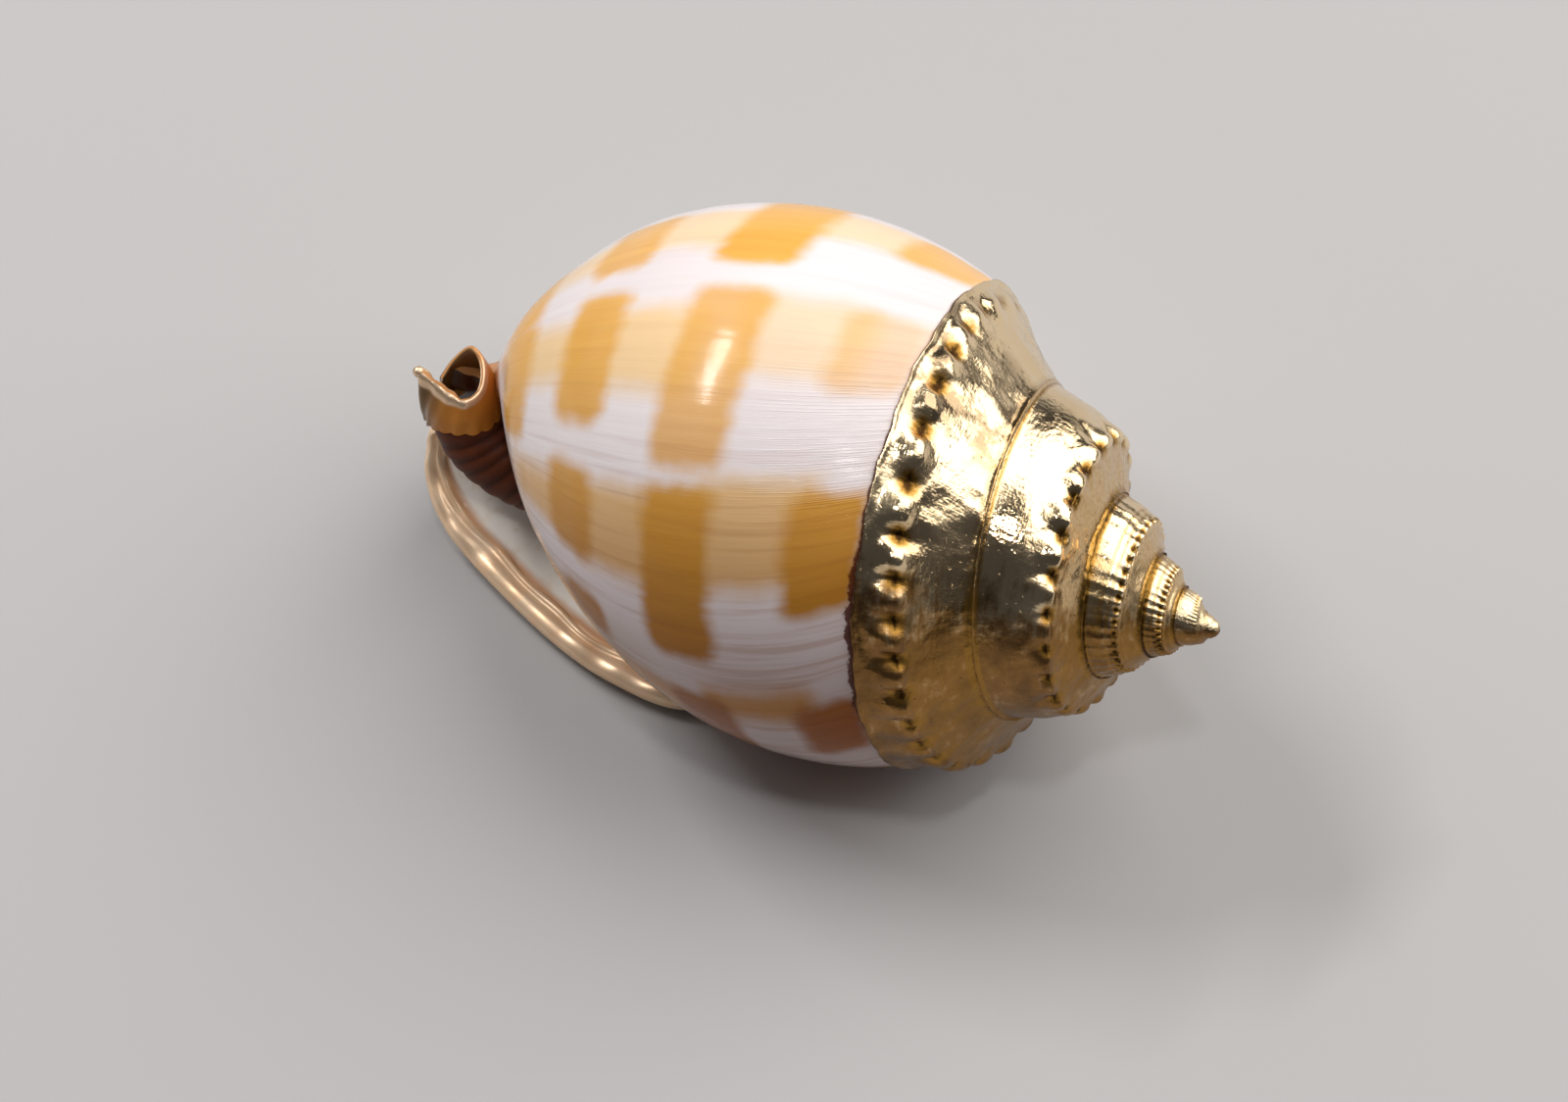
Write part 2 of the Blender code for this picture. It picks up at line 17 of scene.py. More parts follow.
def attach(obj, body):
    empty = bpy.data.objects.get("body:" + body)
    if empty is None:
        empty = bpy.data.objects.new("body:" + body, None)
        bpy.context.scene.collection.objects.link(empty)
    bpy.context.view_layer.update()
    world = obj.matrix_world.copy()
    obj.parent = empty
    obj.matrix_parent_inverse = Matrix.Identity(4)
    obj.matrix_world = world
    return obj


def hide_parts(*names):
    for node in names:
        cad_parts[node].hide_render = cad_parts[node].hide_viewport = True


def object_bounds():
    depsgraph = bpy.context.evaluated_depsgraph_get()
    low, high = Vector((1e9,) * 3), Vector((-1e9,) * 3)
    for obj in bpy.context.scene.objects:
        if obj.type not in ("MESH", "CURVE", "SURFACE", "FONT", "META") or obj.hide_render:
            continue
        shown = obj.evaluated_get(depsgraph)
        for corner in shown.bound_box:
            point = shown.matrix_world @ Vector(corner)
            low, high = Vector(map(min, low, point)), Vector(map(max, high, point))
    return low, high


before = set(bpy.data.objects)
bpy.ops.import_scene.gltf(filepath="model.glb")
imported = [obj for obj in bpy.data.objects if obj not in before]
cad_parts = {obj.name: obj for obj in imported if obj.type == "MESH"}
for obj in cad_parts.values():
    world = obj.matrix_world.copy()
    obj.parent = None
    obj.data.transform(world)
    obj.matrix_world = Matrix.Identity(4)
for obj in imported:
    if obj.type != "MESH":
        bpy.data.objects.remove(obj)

MM = 0.001
solid_box = [list(corner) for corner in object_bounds()]
print("nodes:", sorted(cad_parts), "box:", solid_box)

# %% [markdown]
# ## How a snail's shell grows
# A shell is a spiral that widens by the same share in each turn, so the logarithm of a length is nearly a
# straight line against the turns. A place on it is a turn, a distance from the axis (radius) and a
# distance from the apex along the axis (depth), in millimetres. We write the laws once and use them for
# the shape and for the colour pattern, because the animal makes both at the same growing edge.

# %% Stance and helpers
FOOTPRINT_CENTRE = np.array((-34.874, 2.491, 0.0))
APEX_HEIGHT = 22.3
AXIS_TILT = math.radians(9.0)
FRONT_ANGLE = 56.2
LIP_ANGLE = 232.0


def turn_of(angle):
    return (np.asarray(angle, float) - FRONT_ANGLE) / 360.0


LIP_TURN = float(turn_of(LIP_ANGLE))
BODY_FROM = LIP_TURN - 1.0


def ease(t):
    """0 up to 0 and 1 from 1 on, with a soft S between them."""
    t = np.clip(t, 0.0, 1.0)
    return t * t * (3.0 - 2.0 * t)


def place(turn, radius, depth):
    """Points in millimetres from turn, radius and depth."""
    angle = np.radians(FRONT_ANGLE + 360.0 * np.asarray(turn, float))
    near, up = radius * np.cos(angle), radius * np.sin(angle)
    tilt_c, tilt_s = math.cos(AXIS_TILT), math.sin(AXIS_TILT)
    point = np.stack(np.broadcast_arrays(-depth * tilt_c - up * tilt_s, -near,
                                         APEX_HEIGHT - depth * tilt_s + up * tilt_c), axis=-1)
    return point - FOOTPRINT_CENTRE


def angle_radius_depth(points):
    """The other way round: growth angle in degrees, radius and depth of points."""
    p = points + FOOTPRINT_CENTRE - (0.0, 0.0, APEX_HEIGHT)
    tilt_c, tilt_s = math.cos(AXIS_TILT), math.sin(AXIS_TILT)
    depth = -(p[:, 0] * tilt_c + p[:, 2] * tilt_s)
    up = -p[:, 0] * tilt_s + p[:, 2] * tilt_c
    near = -p[:, 1]
    return np.degrees(np.arctan2(up, near)), np.hypot(near, up), depth


print("the lip is at turn", round(LIP_TURN, 3))

# %% Growth laws
SUTURE_RADIUS = (2.5437, 0.6316, 0.0134)
SUTURE_DEPTH = (2.7884, 0.5458, 0.0120)
TIP_TURN, TIP_RATE = -3.5, 1.6
RAMP_SAG, SIDE_BULGE, FRONT_SWELL = 0.03, 0.2, 0.036
SHOULDER_RADIUS = (2.8888, 0.4664, -0.0585)
SHOULDER_DEPTH = (3.0210, 0.7480, 0.1031)
SHOULDER_DEPTH_LATE = (3.0210, 0.7480, -0.55)
SUTURE_LEVEL, EDGE_LEVEL, SHOULDER_LEVEL = 25.9, 23.15, 20.7
WALL = ((20.7, 17.96), (27.2, 20.25), (33.3, 21.16), (39.3, 20.81), (45.4, 19.14), (51.4, 16.0),
        (56.5, 11.98), (59.2, 8.6), (60.7, 5.4), (61.3, 2.2))
RADIUS_RATE, DEPTH_RATE, BASE_SLOWING = 0.45, 0.39, 0.55


def curve_through(points, count):
    """Smooth curve through points (Catmull-Rom), sampled at equal steps of its parameter."""
    pts = np.asarray(points, float)
    pts = np.vstack([2 * pts[0] - pts[1], pts, 2 * pts[-1] - pts[-2]])
    s = np.linspace(0.0, len(pts) - 3, count)
    i = np.minimum(s.astype(int), len(pts) - 4)
    f = (s - i)[:, None]
    p0, p1, p2, p3 = pts[i], pts[i + 1], pts[i + 2], pts[i + 3]
    return 0.5 * (2 * p1 + (p2 - p0) * f + (2 * p0 - 5 * p1 + 4 * p2 - p3) * f ** 2
                  + (3 * p1 - p0 - 3 * p2 + p3) * f ** 3)


WALL_CURVE = curve_through(WALL, 2000)


def pair(a, b):
    """Radius and depth, or any two numbers, side by side."""
    return np.stack(np.broadcast_arrays(a, b), axis=-1)


def law(coefficients, turn):
    """A length that grows by a nearly constant share per turn."""
    return np.exp(sum(c * turn ** k for k, c in enumerate(coefficients)))


def depth_factor(level, turn):
    """The base deepens less than the rest towards the lip."""
    late = BASE_SLOWING * np.maximum(0.0, turn - 0.1) * ease((level - 48.0) / 10.0)
    return np.exp(DEPTH_RATE * (turn - late))


def wall_point(level, turn):
    """(radius, depth) of the last turn's side at a level, which is the depth measured at turn 0."""
    turn = np.asarray(turn, float)
    swell = 1.0 + FRONT_SWELL * ease((-0.25 - turn) / 0.28)
    radius = np.interp(level, *WALL_CURVE.T) * np.exp(RADIUS_RATE * turn) * swell
    return pair(radius, level * depth_factor(level, turn))


def suture(turn):
    """(radius, depth) of the seam above the whorl."""
    closing = np.exp(TIP_RATE * np.minimum(turn - TIP_TURN, 0.0))
    free = pair(law(SUTURE_RADIUS, np.maximum(turn, TIP_TURN)), law(SUTURE_DEPTH, np.maximum(turn, TIP_TURN)))
    seated = ease((turn - 0.15) / 0.3)[..., None]
    return free * closing[..., None] * (1 - seated) + wall_point(SUTURE_LEVEL, turn - 1.0) * seated


def shoulder(turn):
    """(radius, depth) where the ramp turns down into the side."""
    depth = np.where(turn < 0, law(SHOULDER_DEPTH, turn), law(SHOULDER_DEPTH_LATE, turn))
    free = pair(law(SHOULDER_RADIUS, turn), depth)
    top, foot = suture(turn), suture(turn + 1.0)
    early = top + (foot - top) * (0.60, 0.32)
    return early + (free - early) * ease((turn + 2.6) / 0.7)[..., None]


def on_wall(free, level, turn):
    """The last turn's side follows its own law, the turns before it a free one."""
    share = ease((turn - BODY_FROM) / 0.2)[..., None]
    return free * (1 - share) + wall_point(level, turn) * share


def side_point(level, turn):
    """Point of the side between shoulder and seam."""
    edge, foot = shoulder(turn), suture(turn + 1.0)
    share = np.asarray((level - SHOULDER_LEVEL) / (SUTURE_LEVEL - SHOULDER_LEVEL))[..., None]
    down = foot - edge
    outward = pair(down[..., 1], -down[..., 0]) * SIDE_BULGE * share * (1 - share)
    return on_wall(edge + share * down + outward, level, turn)


def seam_point(turn):
    return on_wall(suture(turn + 1.0), SUTURE_LEVEL, turn)


def ramp_point(turn):
    """The ramp between seam and shoulder sags a little."""
    top, edge = suture(turn), shoulder(turn)
    return top + 0.55 * (edge - top) + pair(0.0, RAMP_SAG * np.linalg.norm(edge - top, axis=-1))


now = np.array([0.0])
print("at turn 0: suture", suture(now)[0].round(1), "shoulder", shoulder(now)[0].round(1))

# %% [markdown]
# ## The spiral as one sheet
# The outside of a coiled shell could be made turn by turn, but then each seam would have to be sewn. We lay
# the sheet down as one strip: columns follow the growth, rows run from the seam to the base, and the top row
# of each column *is* the seam row of the column one turn before. So the sheet is closed by itself.

# %% Spiral sheet


class SpiralSheet:
    """Points and faces of the strip: one column per step of growth."""

    def __init__(self, turns, per_turn, rows, seam_row, body_from, tip_depth):
        """rows: one array of (radius, depth) per row, each with a value for every turn."""
        columns, count = len(turns), len(rows)
        i, j = np.meshgrid(np.arange(columns), np.arange(count), indexing="ij")
        used = (j <= seam_row) | (turns >= body_from - 1e-6)[:, None]
        fresh = used & ~((j == 0) & (i >= per_turn))
        index = np.full((columns, count), -1)
        index[fresh] = np.arange(fresh.sum())
        index[per_turn:, 0] = index[:-per_turn, seam_row]
        sections = np.stack(rows, axis=1)
        self.turn = turns[i[fresh]]
        self.row = j[fresh]
        self.section = sections[fresh]
        self.points = place(self.turn, self.section[:, 0], self.section[:, 1])
        quads = used[:-1, 1:] & used[1:, 1:]
        self.quads = np.stack([index[:-1, :-1][quads], index[1:, :-1][quads], index[1:, 1:][quads],
                               index[:-1, 1:][quads]], axis=1)
        self.pole = len(self.points)
        self.points = np.vstack([self.points, place(turns[0], 0.0, tip_depth)])
        self.turn = np.append(self.turn, turns[0])
        self.row = np.append(self.row, 0)
        self.fan = [(self.pole, index[k + 1, 0], index[k, 0]) for k in range(per_turn)]
        self.fan += [(self.pole, index[0, r], index[0, r + 1]) for r in range(seam_row)]
        self.index = index

    def normals(self):
        """Outward normals, each within its own half plane of the axis."""
        out = np.zeros_like(self.points)
        p = self.points[self.quads]
        n = np.cross(p[:, 2] - p[:, 0], p[:, 3] - p[:, 1])
        for corner in range(4):
            np.add.at(out, self.quads[:, corner], n)
        growth = place(self.turn + 0.25, 1.0, 0.0) - place(self.turn, 0.0, 0.0)
        out -= growth * np.sum(out * growth, axis=1)[:, None]
        out[self.pole] = place(0.0, 0.0, -1.0) - place(0.0, 0.0, 0.0)
        return out / np.maximum(np.linalg.norm(out, axis=1)[:, None], 1e-12)

    def faces(self):
        return [tuple(q) for q in self.quads.tolist()] + self.fan


def columns_to(last, first, per_turn):
    count = int(round((last - first) * per_turn))
    return last - np.arange(count, -1, -1) / per_turn


# %% [markdown]
# ## Solids from sections
# Most parts of the front are lofts: closed rings of points, one behind the other, with a skin over them. They
# could be curve objects, but a curve has the same section all along. Booleans join the parts, with the solver
# for closed meshes, because ours are all closed and have many faces.

# %% Solids and how they are joined


def solid(name, points, faces):
    """Closed mesh object, in millimetres for now, with its faces turned outward."""
    mesh = bpy.data.meshes.new(name)
    mesh.from_pydata(np.asarray(points, float).tolist(), [], faces)
    bm = bmesh.new()
    bm.from_mesh(mesh)
    bmesh.ops.recalc_face_normals(bm, faces=bm.faces)
    if bm.calc_volume(signed=True) < 0:
        bmesh.ops.reverse_faces(bm, faces=bm.faces)
    bm.to_mesh(mesh)
    bm.free()
    obj = bpy.data.objects.new(name, mesh)
    bpy.context.scene.collection.objects.link(obj)
    return obj


def settle(obj):
    """Applies the object's modifiers."""
    depsgraph = bpy.context.evaluated_depsgraph_get()
    mesh = bpy.data.meshes.new_from_object(obj.evaluated_get(depsgraph))
    obj.modifiers.clear()
    old, obj.data = obj.data, mesh
    bpy.data.meshes.remove(old)
    triangles = sum(len(p.vertices) - 2 for p in mesh.polygons)
    print(obj.name, len(mesh.vertices), "points", triangles, "triangles")


def join(obj, *steps):
    """Booleans one after another: each step is (solid, operation), and uses its solid up."""
    for tool, operation in steps:
        modifier = obj.modifiers.new(tool.name, "BOOLEAN")
        modifier.operation, modifier.solver, modifier.object = operation, "MANIFOLD", tool
    settle(obj)
    for tool, _ in steps:
        bpy.data.meshes.remove(tool.data)


def loft(name, rings):
    """Closed solid through rings of equal count, with flat ends."""
    rings = np.asarray(rings)
    count, n = rings.shape[:2]
    grid = np.arange(count * n).reshape(count, n)
    after = np.roll(grid, -1, axis=1)
    quads = np.stack([grid[:-1], after[:-1], after[1:], grid[1:]], axis=-1).reshape(-1, 4)
    faces = [tuple(grid[0].tolist()), tuple(grid[-1].tolist())] + [tuple(q) for q in quads.tolist()]
    return solid(name, rings.reshape(-1, 3), faces)


def unit(vectors):
    return vectors / np.linalg.norm(vectors, axis=-1)[..., None]


def tube_rings(path, radii, sides, bulge=0.0):
    """Rings square to a path, carried along without twist."""
    tangents = unit(np.gradient(path, axis=0))
    normal = np.cross(tangents[0], (0.0, 0.0, 1.0))
    normals = []
    for tangent in tangents:
        normal = normal - tangent * (normal @ tangent)
        normal = normal / np.linalg.norm(normal)
        normals.append(normal)
    normals = np.array(normals)[:, None]
    across = np.cross(tangents[:, None], normals)
    angle = np.linspace(0.0, 2 * math.pi, sides, endpoint=False)[None, :, None]
    reach = (np.asarray(radii)[:, None] * (1.0 + bulge))[..., None]
    return path[:, None] + reach * (np.cos(angle) * normals + np.sin(angle) * across)


def line_with_radii(line, count):
    """Controls (x, y, z, radius) as a smooth path and its radii, moved onto the footprint's centre."""
    samples = curve_through(line, count)
    return samples[:, :3] - FOOTPRINT_CENTRE, samples[:, 3]


# %% [markdown]
# ## The shell
# The real one is a single wall of lime, thin on the side, thick at the lip. It could be a thin skin, but the
# lip, the pillar and the spout are solid. So we make the envelope of all whorls as one solid and cut the
# hollow of the last turn out of it. Under the metal the solid lies a little deeper, so that the two pieces
# never touch.

# %% Envelope of the whorls
COLUMNS = 240
CORE_FIRST_TURN, CORE_TIP_DEPTH = -2.45, 3.1
UNDER_CAP, UNDER_OLD_CAP = 1.05, 0.75
TUCK_LEVELS = ((22.2, UNDER_CAP), (22.6, UNDER_CAP), (22.95, 0.0), (23.3, 0.0), (24.5, 0.0))
BASE_LEVELS = np.concatenate([np.linspace(26.6, 59.0, 46), np.linspace(59.4, 61.2, 8)])

turns = columns_to(LIP_TURN, CORE_FIRST_TURN, COLUMNS)
rows = [suture(turns), ramp_point(turns), shoulder(turns)]
rows += [side_point(level, turns) for level, _ in TUCK_LEVELS]
rows += [seam_point(turns)] + [wall_point(level, turns) for level in BASE_LEVELS]
SEAM_ROW = 3 + len(TUCK_LEVELS)
sheet = SpiralSheet(turns, COLUMNS, rows, SEAM_ROW, BODY_FROM, CORE_TIP_DEPTH)
inset = UNDER_OLD_CAP + (UNDER_CAP - UNDER_OLD_CAP) * ease((sheet.turn + 1.8) / 0.3)
for k, (_, depth) in enumerate(TUCK_LEVELS):
    inset[(sheet.row == 3 + k) & (sheet.turn >= BODY_FROM)] = depth
inset[(sheet.row >= SEAM_ROW) & (sheet.turn >= BODY_FROM + 0.5 / COLUMNS)] = 0.0
points = sheet.points - sheet.normals() * inset[:, None]
base_turn = LIP_TURN - 0.5
points = np.vstack([points, place(base_turn, 0.0, WALL[-1][0] * math.exp(DEPTH_RATE * base_turn))])
base_pole = len(points) - 1
first_column = len(turns) - 1 - COLUMNS
bottom = sheet.index[first_column:, -1]
faces = sheet.faces() + [(a, b, base_pole) for a, b in zip(bottom, bottom[1:])]
faces.append((*sheet.index[first_column, SEAM_ROW:], base_pole, *reversed(sheet.index[-1, 1:].tolist())))
shell = solid("shell_detail", points, faces)
print("envelope:", len(points), "points")

# %% Hollow of the last turn
CAVITY_TURNS, CAVITY_STEPS, CAVITY_PAST_LIP = 1.1, 90, 0.045
WALL_THICKNESS, PARIETAL_GLAZE, COLUMELLA_RADIUS = 1.3, 0.4, 3.6
OUTER_LEVELS, INNER_LEVELS = (26, 30, 35, 40, 45, 50, 54, 57), (29, 35, 41, 47, 52, 56)
PILLAR = ((0.3, 44.0), (0.0, 49.0), (0.2, 53.5), (1.4, 57.0))


def mouth_ring(turn, shrink):
    """Section of the hollow: inside of the wall, then the outside of the whorl before it."""
    outer = np.array([shoulder(turn)] + [wall_point(level, turn) for level in OUTER_LEVELS])
    slope = unit(np.gradient(outer, axis=0))
    outer = outer + pair(-slope[:, 1], slope[:, 0]) * WALL_THICKNESS
    wide = COLUMELLA_RADIUS * math.exp(RADIUS_RATE * turn)
    deep = math.exp(DEPTH_RATE * turn)
    inner = [wall_point(level, turn - 1.0) + (PARIETAL_GLAZE, 0.0) for level in INNER_LEVELS]
    inner += [(wide + more, level * deep) for more, level in PILLAR]
    ring = curve_through([*outer, *inner[::-1]], 72)
    middle = ring.mean(axis=0)
    ring = middle + (ring - middle) * shrink
    return place(turn, ring[:, 0], ring[:, 1])


rings = []
for k in range(CAVITY_STEPS + 1):
    left = min((CAVITY_STEPS - k) / (CAVITY_STEPS / 4.0), 1.0)
    here = np.array(LIP_TURN + CAVITY_PAST_LIP - CAVITY_TURNS * k / CAVITY_STEPS)
    rings.append(mouth_ring(here, math.sqrt(max(0.08, 1 - (1 - left) ** 2))))
hollow = loft("hollow", rings)
print("hollow:", len(rings), "rings")

# %% [markdown]
# ## The spout and its old ends
# In front the shell narrows to a spout for the animal's breathing tube. It moved aside as the shell grew, and
# each old end stayed as a curved rib on a brown ridge. A tube along the spout carries the ribs as waves of
# its radius, one behind the other round the newest end, and a second tube cuts the slit-shaped bore.

# %% Bore and far wall
SPOUT = ((-36.0, 1.0, 12.0, 4.0), (-44.0, 1.6, 9.8, 5.0), (-50.5, 1.4, 8.8, 4.7), (-55.5, 0.0, 8.4, 3.9),
         (-59.4, -1.4, 8.8, 3.3), (-62.3, -1.9, 10.0, 3.1), (-64.6, -1.7, 11.3, 2.9),
         (-65.9, -1.2, 13.2, 2.65), (-66.8, -0.8, 15.2, 2.5), (-67.6, -0.5, 17.0, 2.6))
FAR_WALL = ((-47.0, 19.6, 10.0, 1.2), (-51.5, 14.6, 9.2, 3.6), (-56.0, 9.8, 8.6, 4.8), (-59.5, 7.0, 8.2, 4.7),
            (-62.4, 4.9, 9.0, 4.1), (-64.8, 2.2, 11.2, 3.2), (-66.2, 0.2, 14.2, 2.4))
BORE = ((-43.0, 9.5, 8.5, 3.0), (-48.5, 8.6, 7.6, 3.5), (-53.0, 7.2, 7.2, 3.3), (-57.0, 5.6, 7.2, 3.0),
        (-61.0, 3.4, 7.9, 2.6), (-64.2, 1.0, 9.8, 2.1), (-65.7, -0.8, 12.6, 1.9), (-66.0, -0.7, 15.2, 1.9),
        (-66.2, -0.5, 18.8, 1.7))
SLIT_LENGTH = 9.0
far_side = loft("far_side", tube_rings(*line_with_radii(FAR_WALL, 40), 48))
path, radii = line_with_radii(BORE, 120)
rings = tube_rings(path, radii, 64)
ways = unit(np.cross(np.gradient(path, axis=0), (0.0, 1.0, 0.0)))
facing = np.einsum("kjc,kc->kj", rings - path[:, None], ways) / radii[:, None]
rings = rings + ways[:, None] * (SLIT_LENGTH * ease((facing - 0.35) / 0.35))[..., None]
bore = loft("bore", rings)
print("bore:", len(rings), "rings")

# %% Ridge of old spout ends
RIDGE_STATIONS, RIDGE_SIDES, RIDGE_BAND, SCROLL_STARTS = 180, 72, 1.15, 0.86
RIB_HEIGHT, GROOVE_DEPTH = 0.16, 0.10
SPOUT_MOUTH = np.array((-65.9, -1.1, 13.6)) - FOOTPRINT_CENTRE


def ridge_bands(points):
    """Old spout ends lie in rings round the newest one: 0 in the grooves, 1 on the crests."""
    away = np.linalg.norm(points - SPOUT_MOUTH, axis=-1)
    return away, np.abs(np.sin(math.pi * away / RIDGE_BAND + 0.5 * np.sin(away * 1.3))) ** 0.7


path, radii = line_with_radii(SPOUT, RIDGE_STATIONS)
kept = int(SCROLL_STARTS * RIDGE_STATIONS)
rings = tube_rings(path, radii, RIDGE_SIDES)[:kept]
crest = ridge_bands(rings)[1]
outward = (rings - path[:kept, None]) / radii[:kept, None, None]
rings = rings + outward * (RIB_HEIGHT * crest - GROOVE_DEPTH)[..., None]
ridge = loft("ridge", rings)
print("ridge:", kept, "rings")

# %% [markdown]
# ## The scroll at the spout's end
# The newest part of the spout stands up like a rolled leaf, open on one side, with a thick bright rim and a
# small ball on its free tip. A tube would not do, because a tube is closed. We draw the rim and the foot as
# two open curves, stretch a sheet between them, and give it thickness: out along one side, back on the other.

# %% Scroll
SCROLL_RIM = ((-68.5, -2.6, 18.2), (-67.1, -2.7, 17.5), (-65.8, -2.85, 17.0), (-64.5, -2.7, 16.8),
              (-64.0, -1.35, 16.8), (-64.35, 0.1, 17.2), (-65.2, 1.25, 17.7), (-66.3, 1.55, 18.1),
              (-67.6, 0.9, 16.5), (-68.4, -0.1, 14.8))
SCROLL_FOOT = ((-68.6, -2.15, 12.0), (-67.9, -3.0, 12.6), (-66.5, -3.6, 13.3), (-65.0, -3.7, 13.8),
               (-63.5, -2.9, 13.8), (-62.9, -1.2, 13.6), (-63.5, 0.6, 13.8), (-65.1, 1.9, 13.9),
               (-67.1, 1.7, 13.3), (-68.6, 0.2, 12.3))
SCROLL_SAMPLES, SCROLL_ROWS, SCALLOPS = 90, 14, 13
SHEET_HALF, ROLLED_HALF, BALL_RADIUS = 0.18, 0.16, 0.50


def round_ball(name, centre, radius):
    bm = bmesh.new()
    bmesh.ops.create_icosphere(bm, subdivisions=3, radius=radius)
    bmesh.ops.translate(bm, verts=bm.verts, vec=Vector(centre))
    mesh = bpy.data.meshes.new(name)
    bm.to_mesh(mesh)
    bm.free()
    ball = bpy.data.objects.new(name, mesh)
    bpy.context.scene.collection.objects.link(ball)
    return ball


def scroll_loops():
    """Closed loops round the sheet's section, from inside the ridge up to the rounded rim."""
    share = np.linspace(0.0, 1.0, SCROLL_SAMPLES)
    rim = curve_through(SCROLL_RIM, SCROLL_SAMPLES) - FOOTPRINT_CENTRE
    foot = curve_through(SCROLL_FOOT, SCROLL_SAMPLES) - FOOTPRINT_CENTRE
    rise = np.linspace(0.0, 1.0, SCROLL_ROWS)[:, None, None]
    middle = foot + (rim - foot) * rise
    scallop = (np.abs(np.sin(math.pi * SCALLOPS * share)) ** 0.8)[:, None]
    middle[0] -= 0.06 * (rim - foot) * scallop
    out = unit(np.cross(np.gradient(middle, axis=1), np.gradient(middle, axis=0)))
    centre = middle.mean(axis=(0, 1))
    if np.einsum("kjc,kjc->", out, middle - centre) < 0:
        out = -out
    middle = middle + out * (0.30 * np.sin(math.pi * rise) + 0.11 * scallop * (1.0 - rise) ** 3)
    half = SHEET_HALF + ROLLED_HALF * ease((0.34 - share) / 0.1)
    half = half + 0.05 * (np.sin(share * 61.0) + np.sin(share * 37.0 + 1.0)) * ease((0.4 - share) / 0.1)
    levels = [(middle[0] - 0.10 * (rim - foot), out[0], -0.9 * np.ones_like(half), 1.6 * half),
              (middle[0], out[0], -0.4 * np.ones_like(half), 1.4 * half)]
    for k in range(SCROLL_ROWS):
        thick = half * (1.0 + 0.25 * float(ease((k / (SCROLL_ROWS - 1) - 0.8) / 0.15)))
        levels.append((middle[k], out[k], thick, thick))
    top = unit(middle[-1] - middle[-2])
    for turned in np.radians((25, 50, 70)):
        thick = 1.25 * half * math.cos(turned)
        levels.append((middle[-1] + top * (1.25 * half * math.sin(turned))[:, None], out[-1], thick, thick))
    return [np.vstack([m + o * a[:, None], (m - o * b[:, None])[::-1]]) for m, o, a, b in levels], middle


loops, middle = scroll_loops()
scroll = loft("scroll", loops)
ball_centre = middle[-1, 0] + (middle[-1, 0] - middle[-1, 4]) * 0.4
join(scroll, (round_ball("tip_ball", ball_centre, BALL_RADIUS), "UNION"))
print("scroll:", len(loops), "loops")

# %% [markdown]
# ## The lip and the shield
# A full-grown bonnet stops widening and rolls its outer lip into a thick, toothed bead. On the other side of
# the mouth it spreads a glazed shield, whose free edge rolls over like the rim of a saucer. The lip is a tube
# along the line where the wall comes down to the table. The shield is one section, carried along two curves,
# its edge and its root, and swollen unevenly, since a smooth tube would look turned on a lathe.

# %% Rolled lip
LIP_HEIGHT, LIP_SIDES, TEETH, TOOTH_HEIGHT = 1.75, 32, 24, 0.35
LIP_LEVELS = (24.6, 27.5, 31, 35, 39, 43, 47, 50.5, 53)
LIP_FRONT = ((-61.2, 10.8, 2.8), (-63.9, 8.0, 4.6), (-66.0, 5.2, 7.2), (-67.1, 2.9, 10.4), (-67.7, 1.5, 13.2),
             (-67.7, 1.3, 15.6))
LIP_RADII = (0.9, 1.5, 1.95, 1.9, 1.5, 0.6)


def lip_angle_at(level, height):
    """Growth angle at which the wall comes down to a height, found by halving."""
    low, high = 200.0, 262.0
    for _ in range(24):
        middle = 0.5 * (low + high)
        turn = turn_of(middle)
        if place(turn, *wall_point(level, turn))[2] > height:
            low = middle
        else:
            high = middle
    return 0.5 * (low + high)


lip_line = []
for level in LIP_LEVELS:
    turn = turn_of(lip_angle_at(level, LIP_HEIGHT))
    lip_line.append(place(turn, *wall_point(level, turn)))
lip_line += [np.array(p) - FOOTPRINT_CENTRE for p in LIP_FRONT]
STATIONS = 401
share = np.linspace(0.0, 1.0, STATIONS)
radii = np.interp(share, (0.0, 0.12, 0.3, 0.7, 0.88, 1.0), LIP_RADII)
angle = np.linspace(0.0, 2 * math.pi, LIP_SIDES, endpoint=False)
wave = 0.5 - 0.5 * np.cos(2 * math.pi * TEETH * share)
wave = wave * ease((share - 0.08) / 0.08) * ease((0.66 - share) / 0.08)
bulge = TOOTH_HEIGHT * wave[:, None] * np.maximum(0.0, np.cos(angle - math.pi))[None, :] ** 2
lip = loft("lip", tube_rings(curve_through(lip_line, STATIONS), radii, LIP_SIDES, bulge))
print("lip:", STATIONS, "rings")

# %% Shield
SHIELD_EDGE = ((-67.8, -1.9, 12.0), (-68.4, -1.2, 10.0), (-68.7, -1.6, 7.6), (-68.1, -3.0, 4.6),
               (-64.7, -5.6, 2.6), (-57.9, -8.6, 1.8), (-51.1, -11.0, 1.6), (-45.6, -12.0, 1.6),
               (-40.2, -11.9, 1.7), (-34.0, -9.2, 2.6))
SHIELD_ROOT = ((-65.8, -1.0, 13.2), (-65.4, -1.1, 12.0), (-65.0, -1.3, 10.8), (-63.6, -1.5, 9.0),
               (-60.2, -0.8, 7.0), (-54.0, 0.9, 5.0), (-48.0, 0.6, 4.4), (-42.0, -1.0, 3.6),
               (-36.5, -2.5, 3.6), (-32.0, -4.0, 4.4))
ROLL = ((1.75, 0.34), (1.52, 0.62), (1.25, 0.70), (0.98, 0.58), (0.75, 0.64), (0.45, 0.86), (0.05, 1.0),
        (-0.45, 0.90), (-0.83, 0.58), (-0.97, 0.10), (-0.88, -0.42), (-0.50, -0.84), (0.0, -0.92),
        (0.55, -0.75))
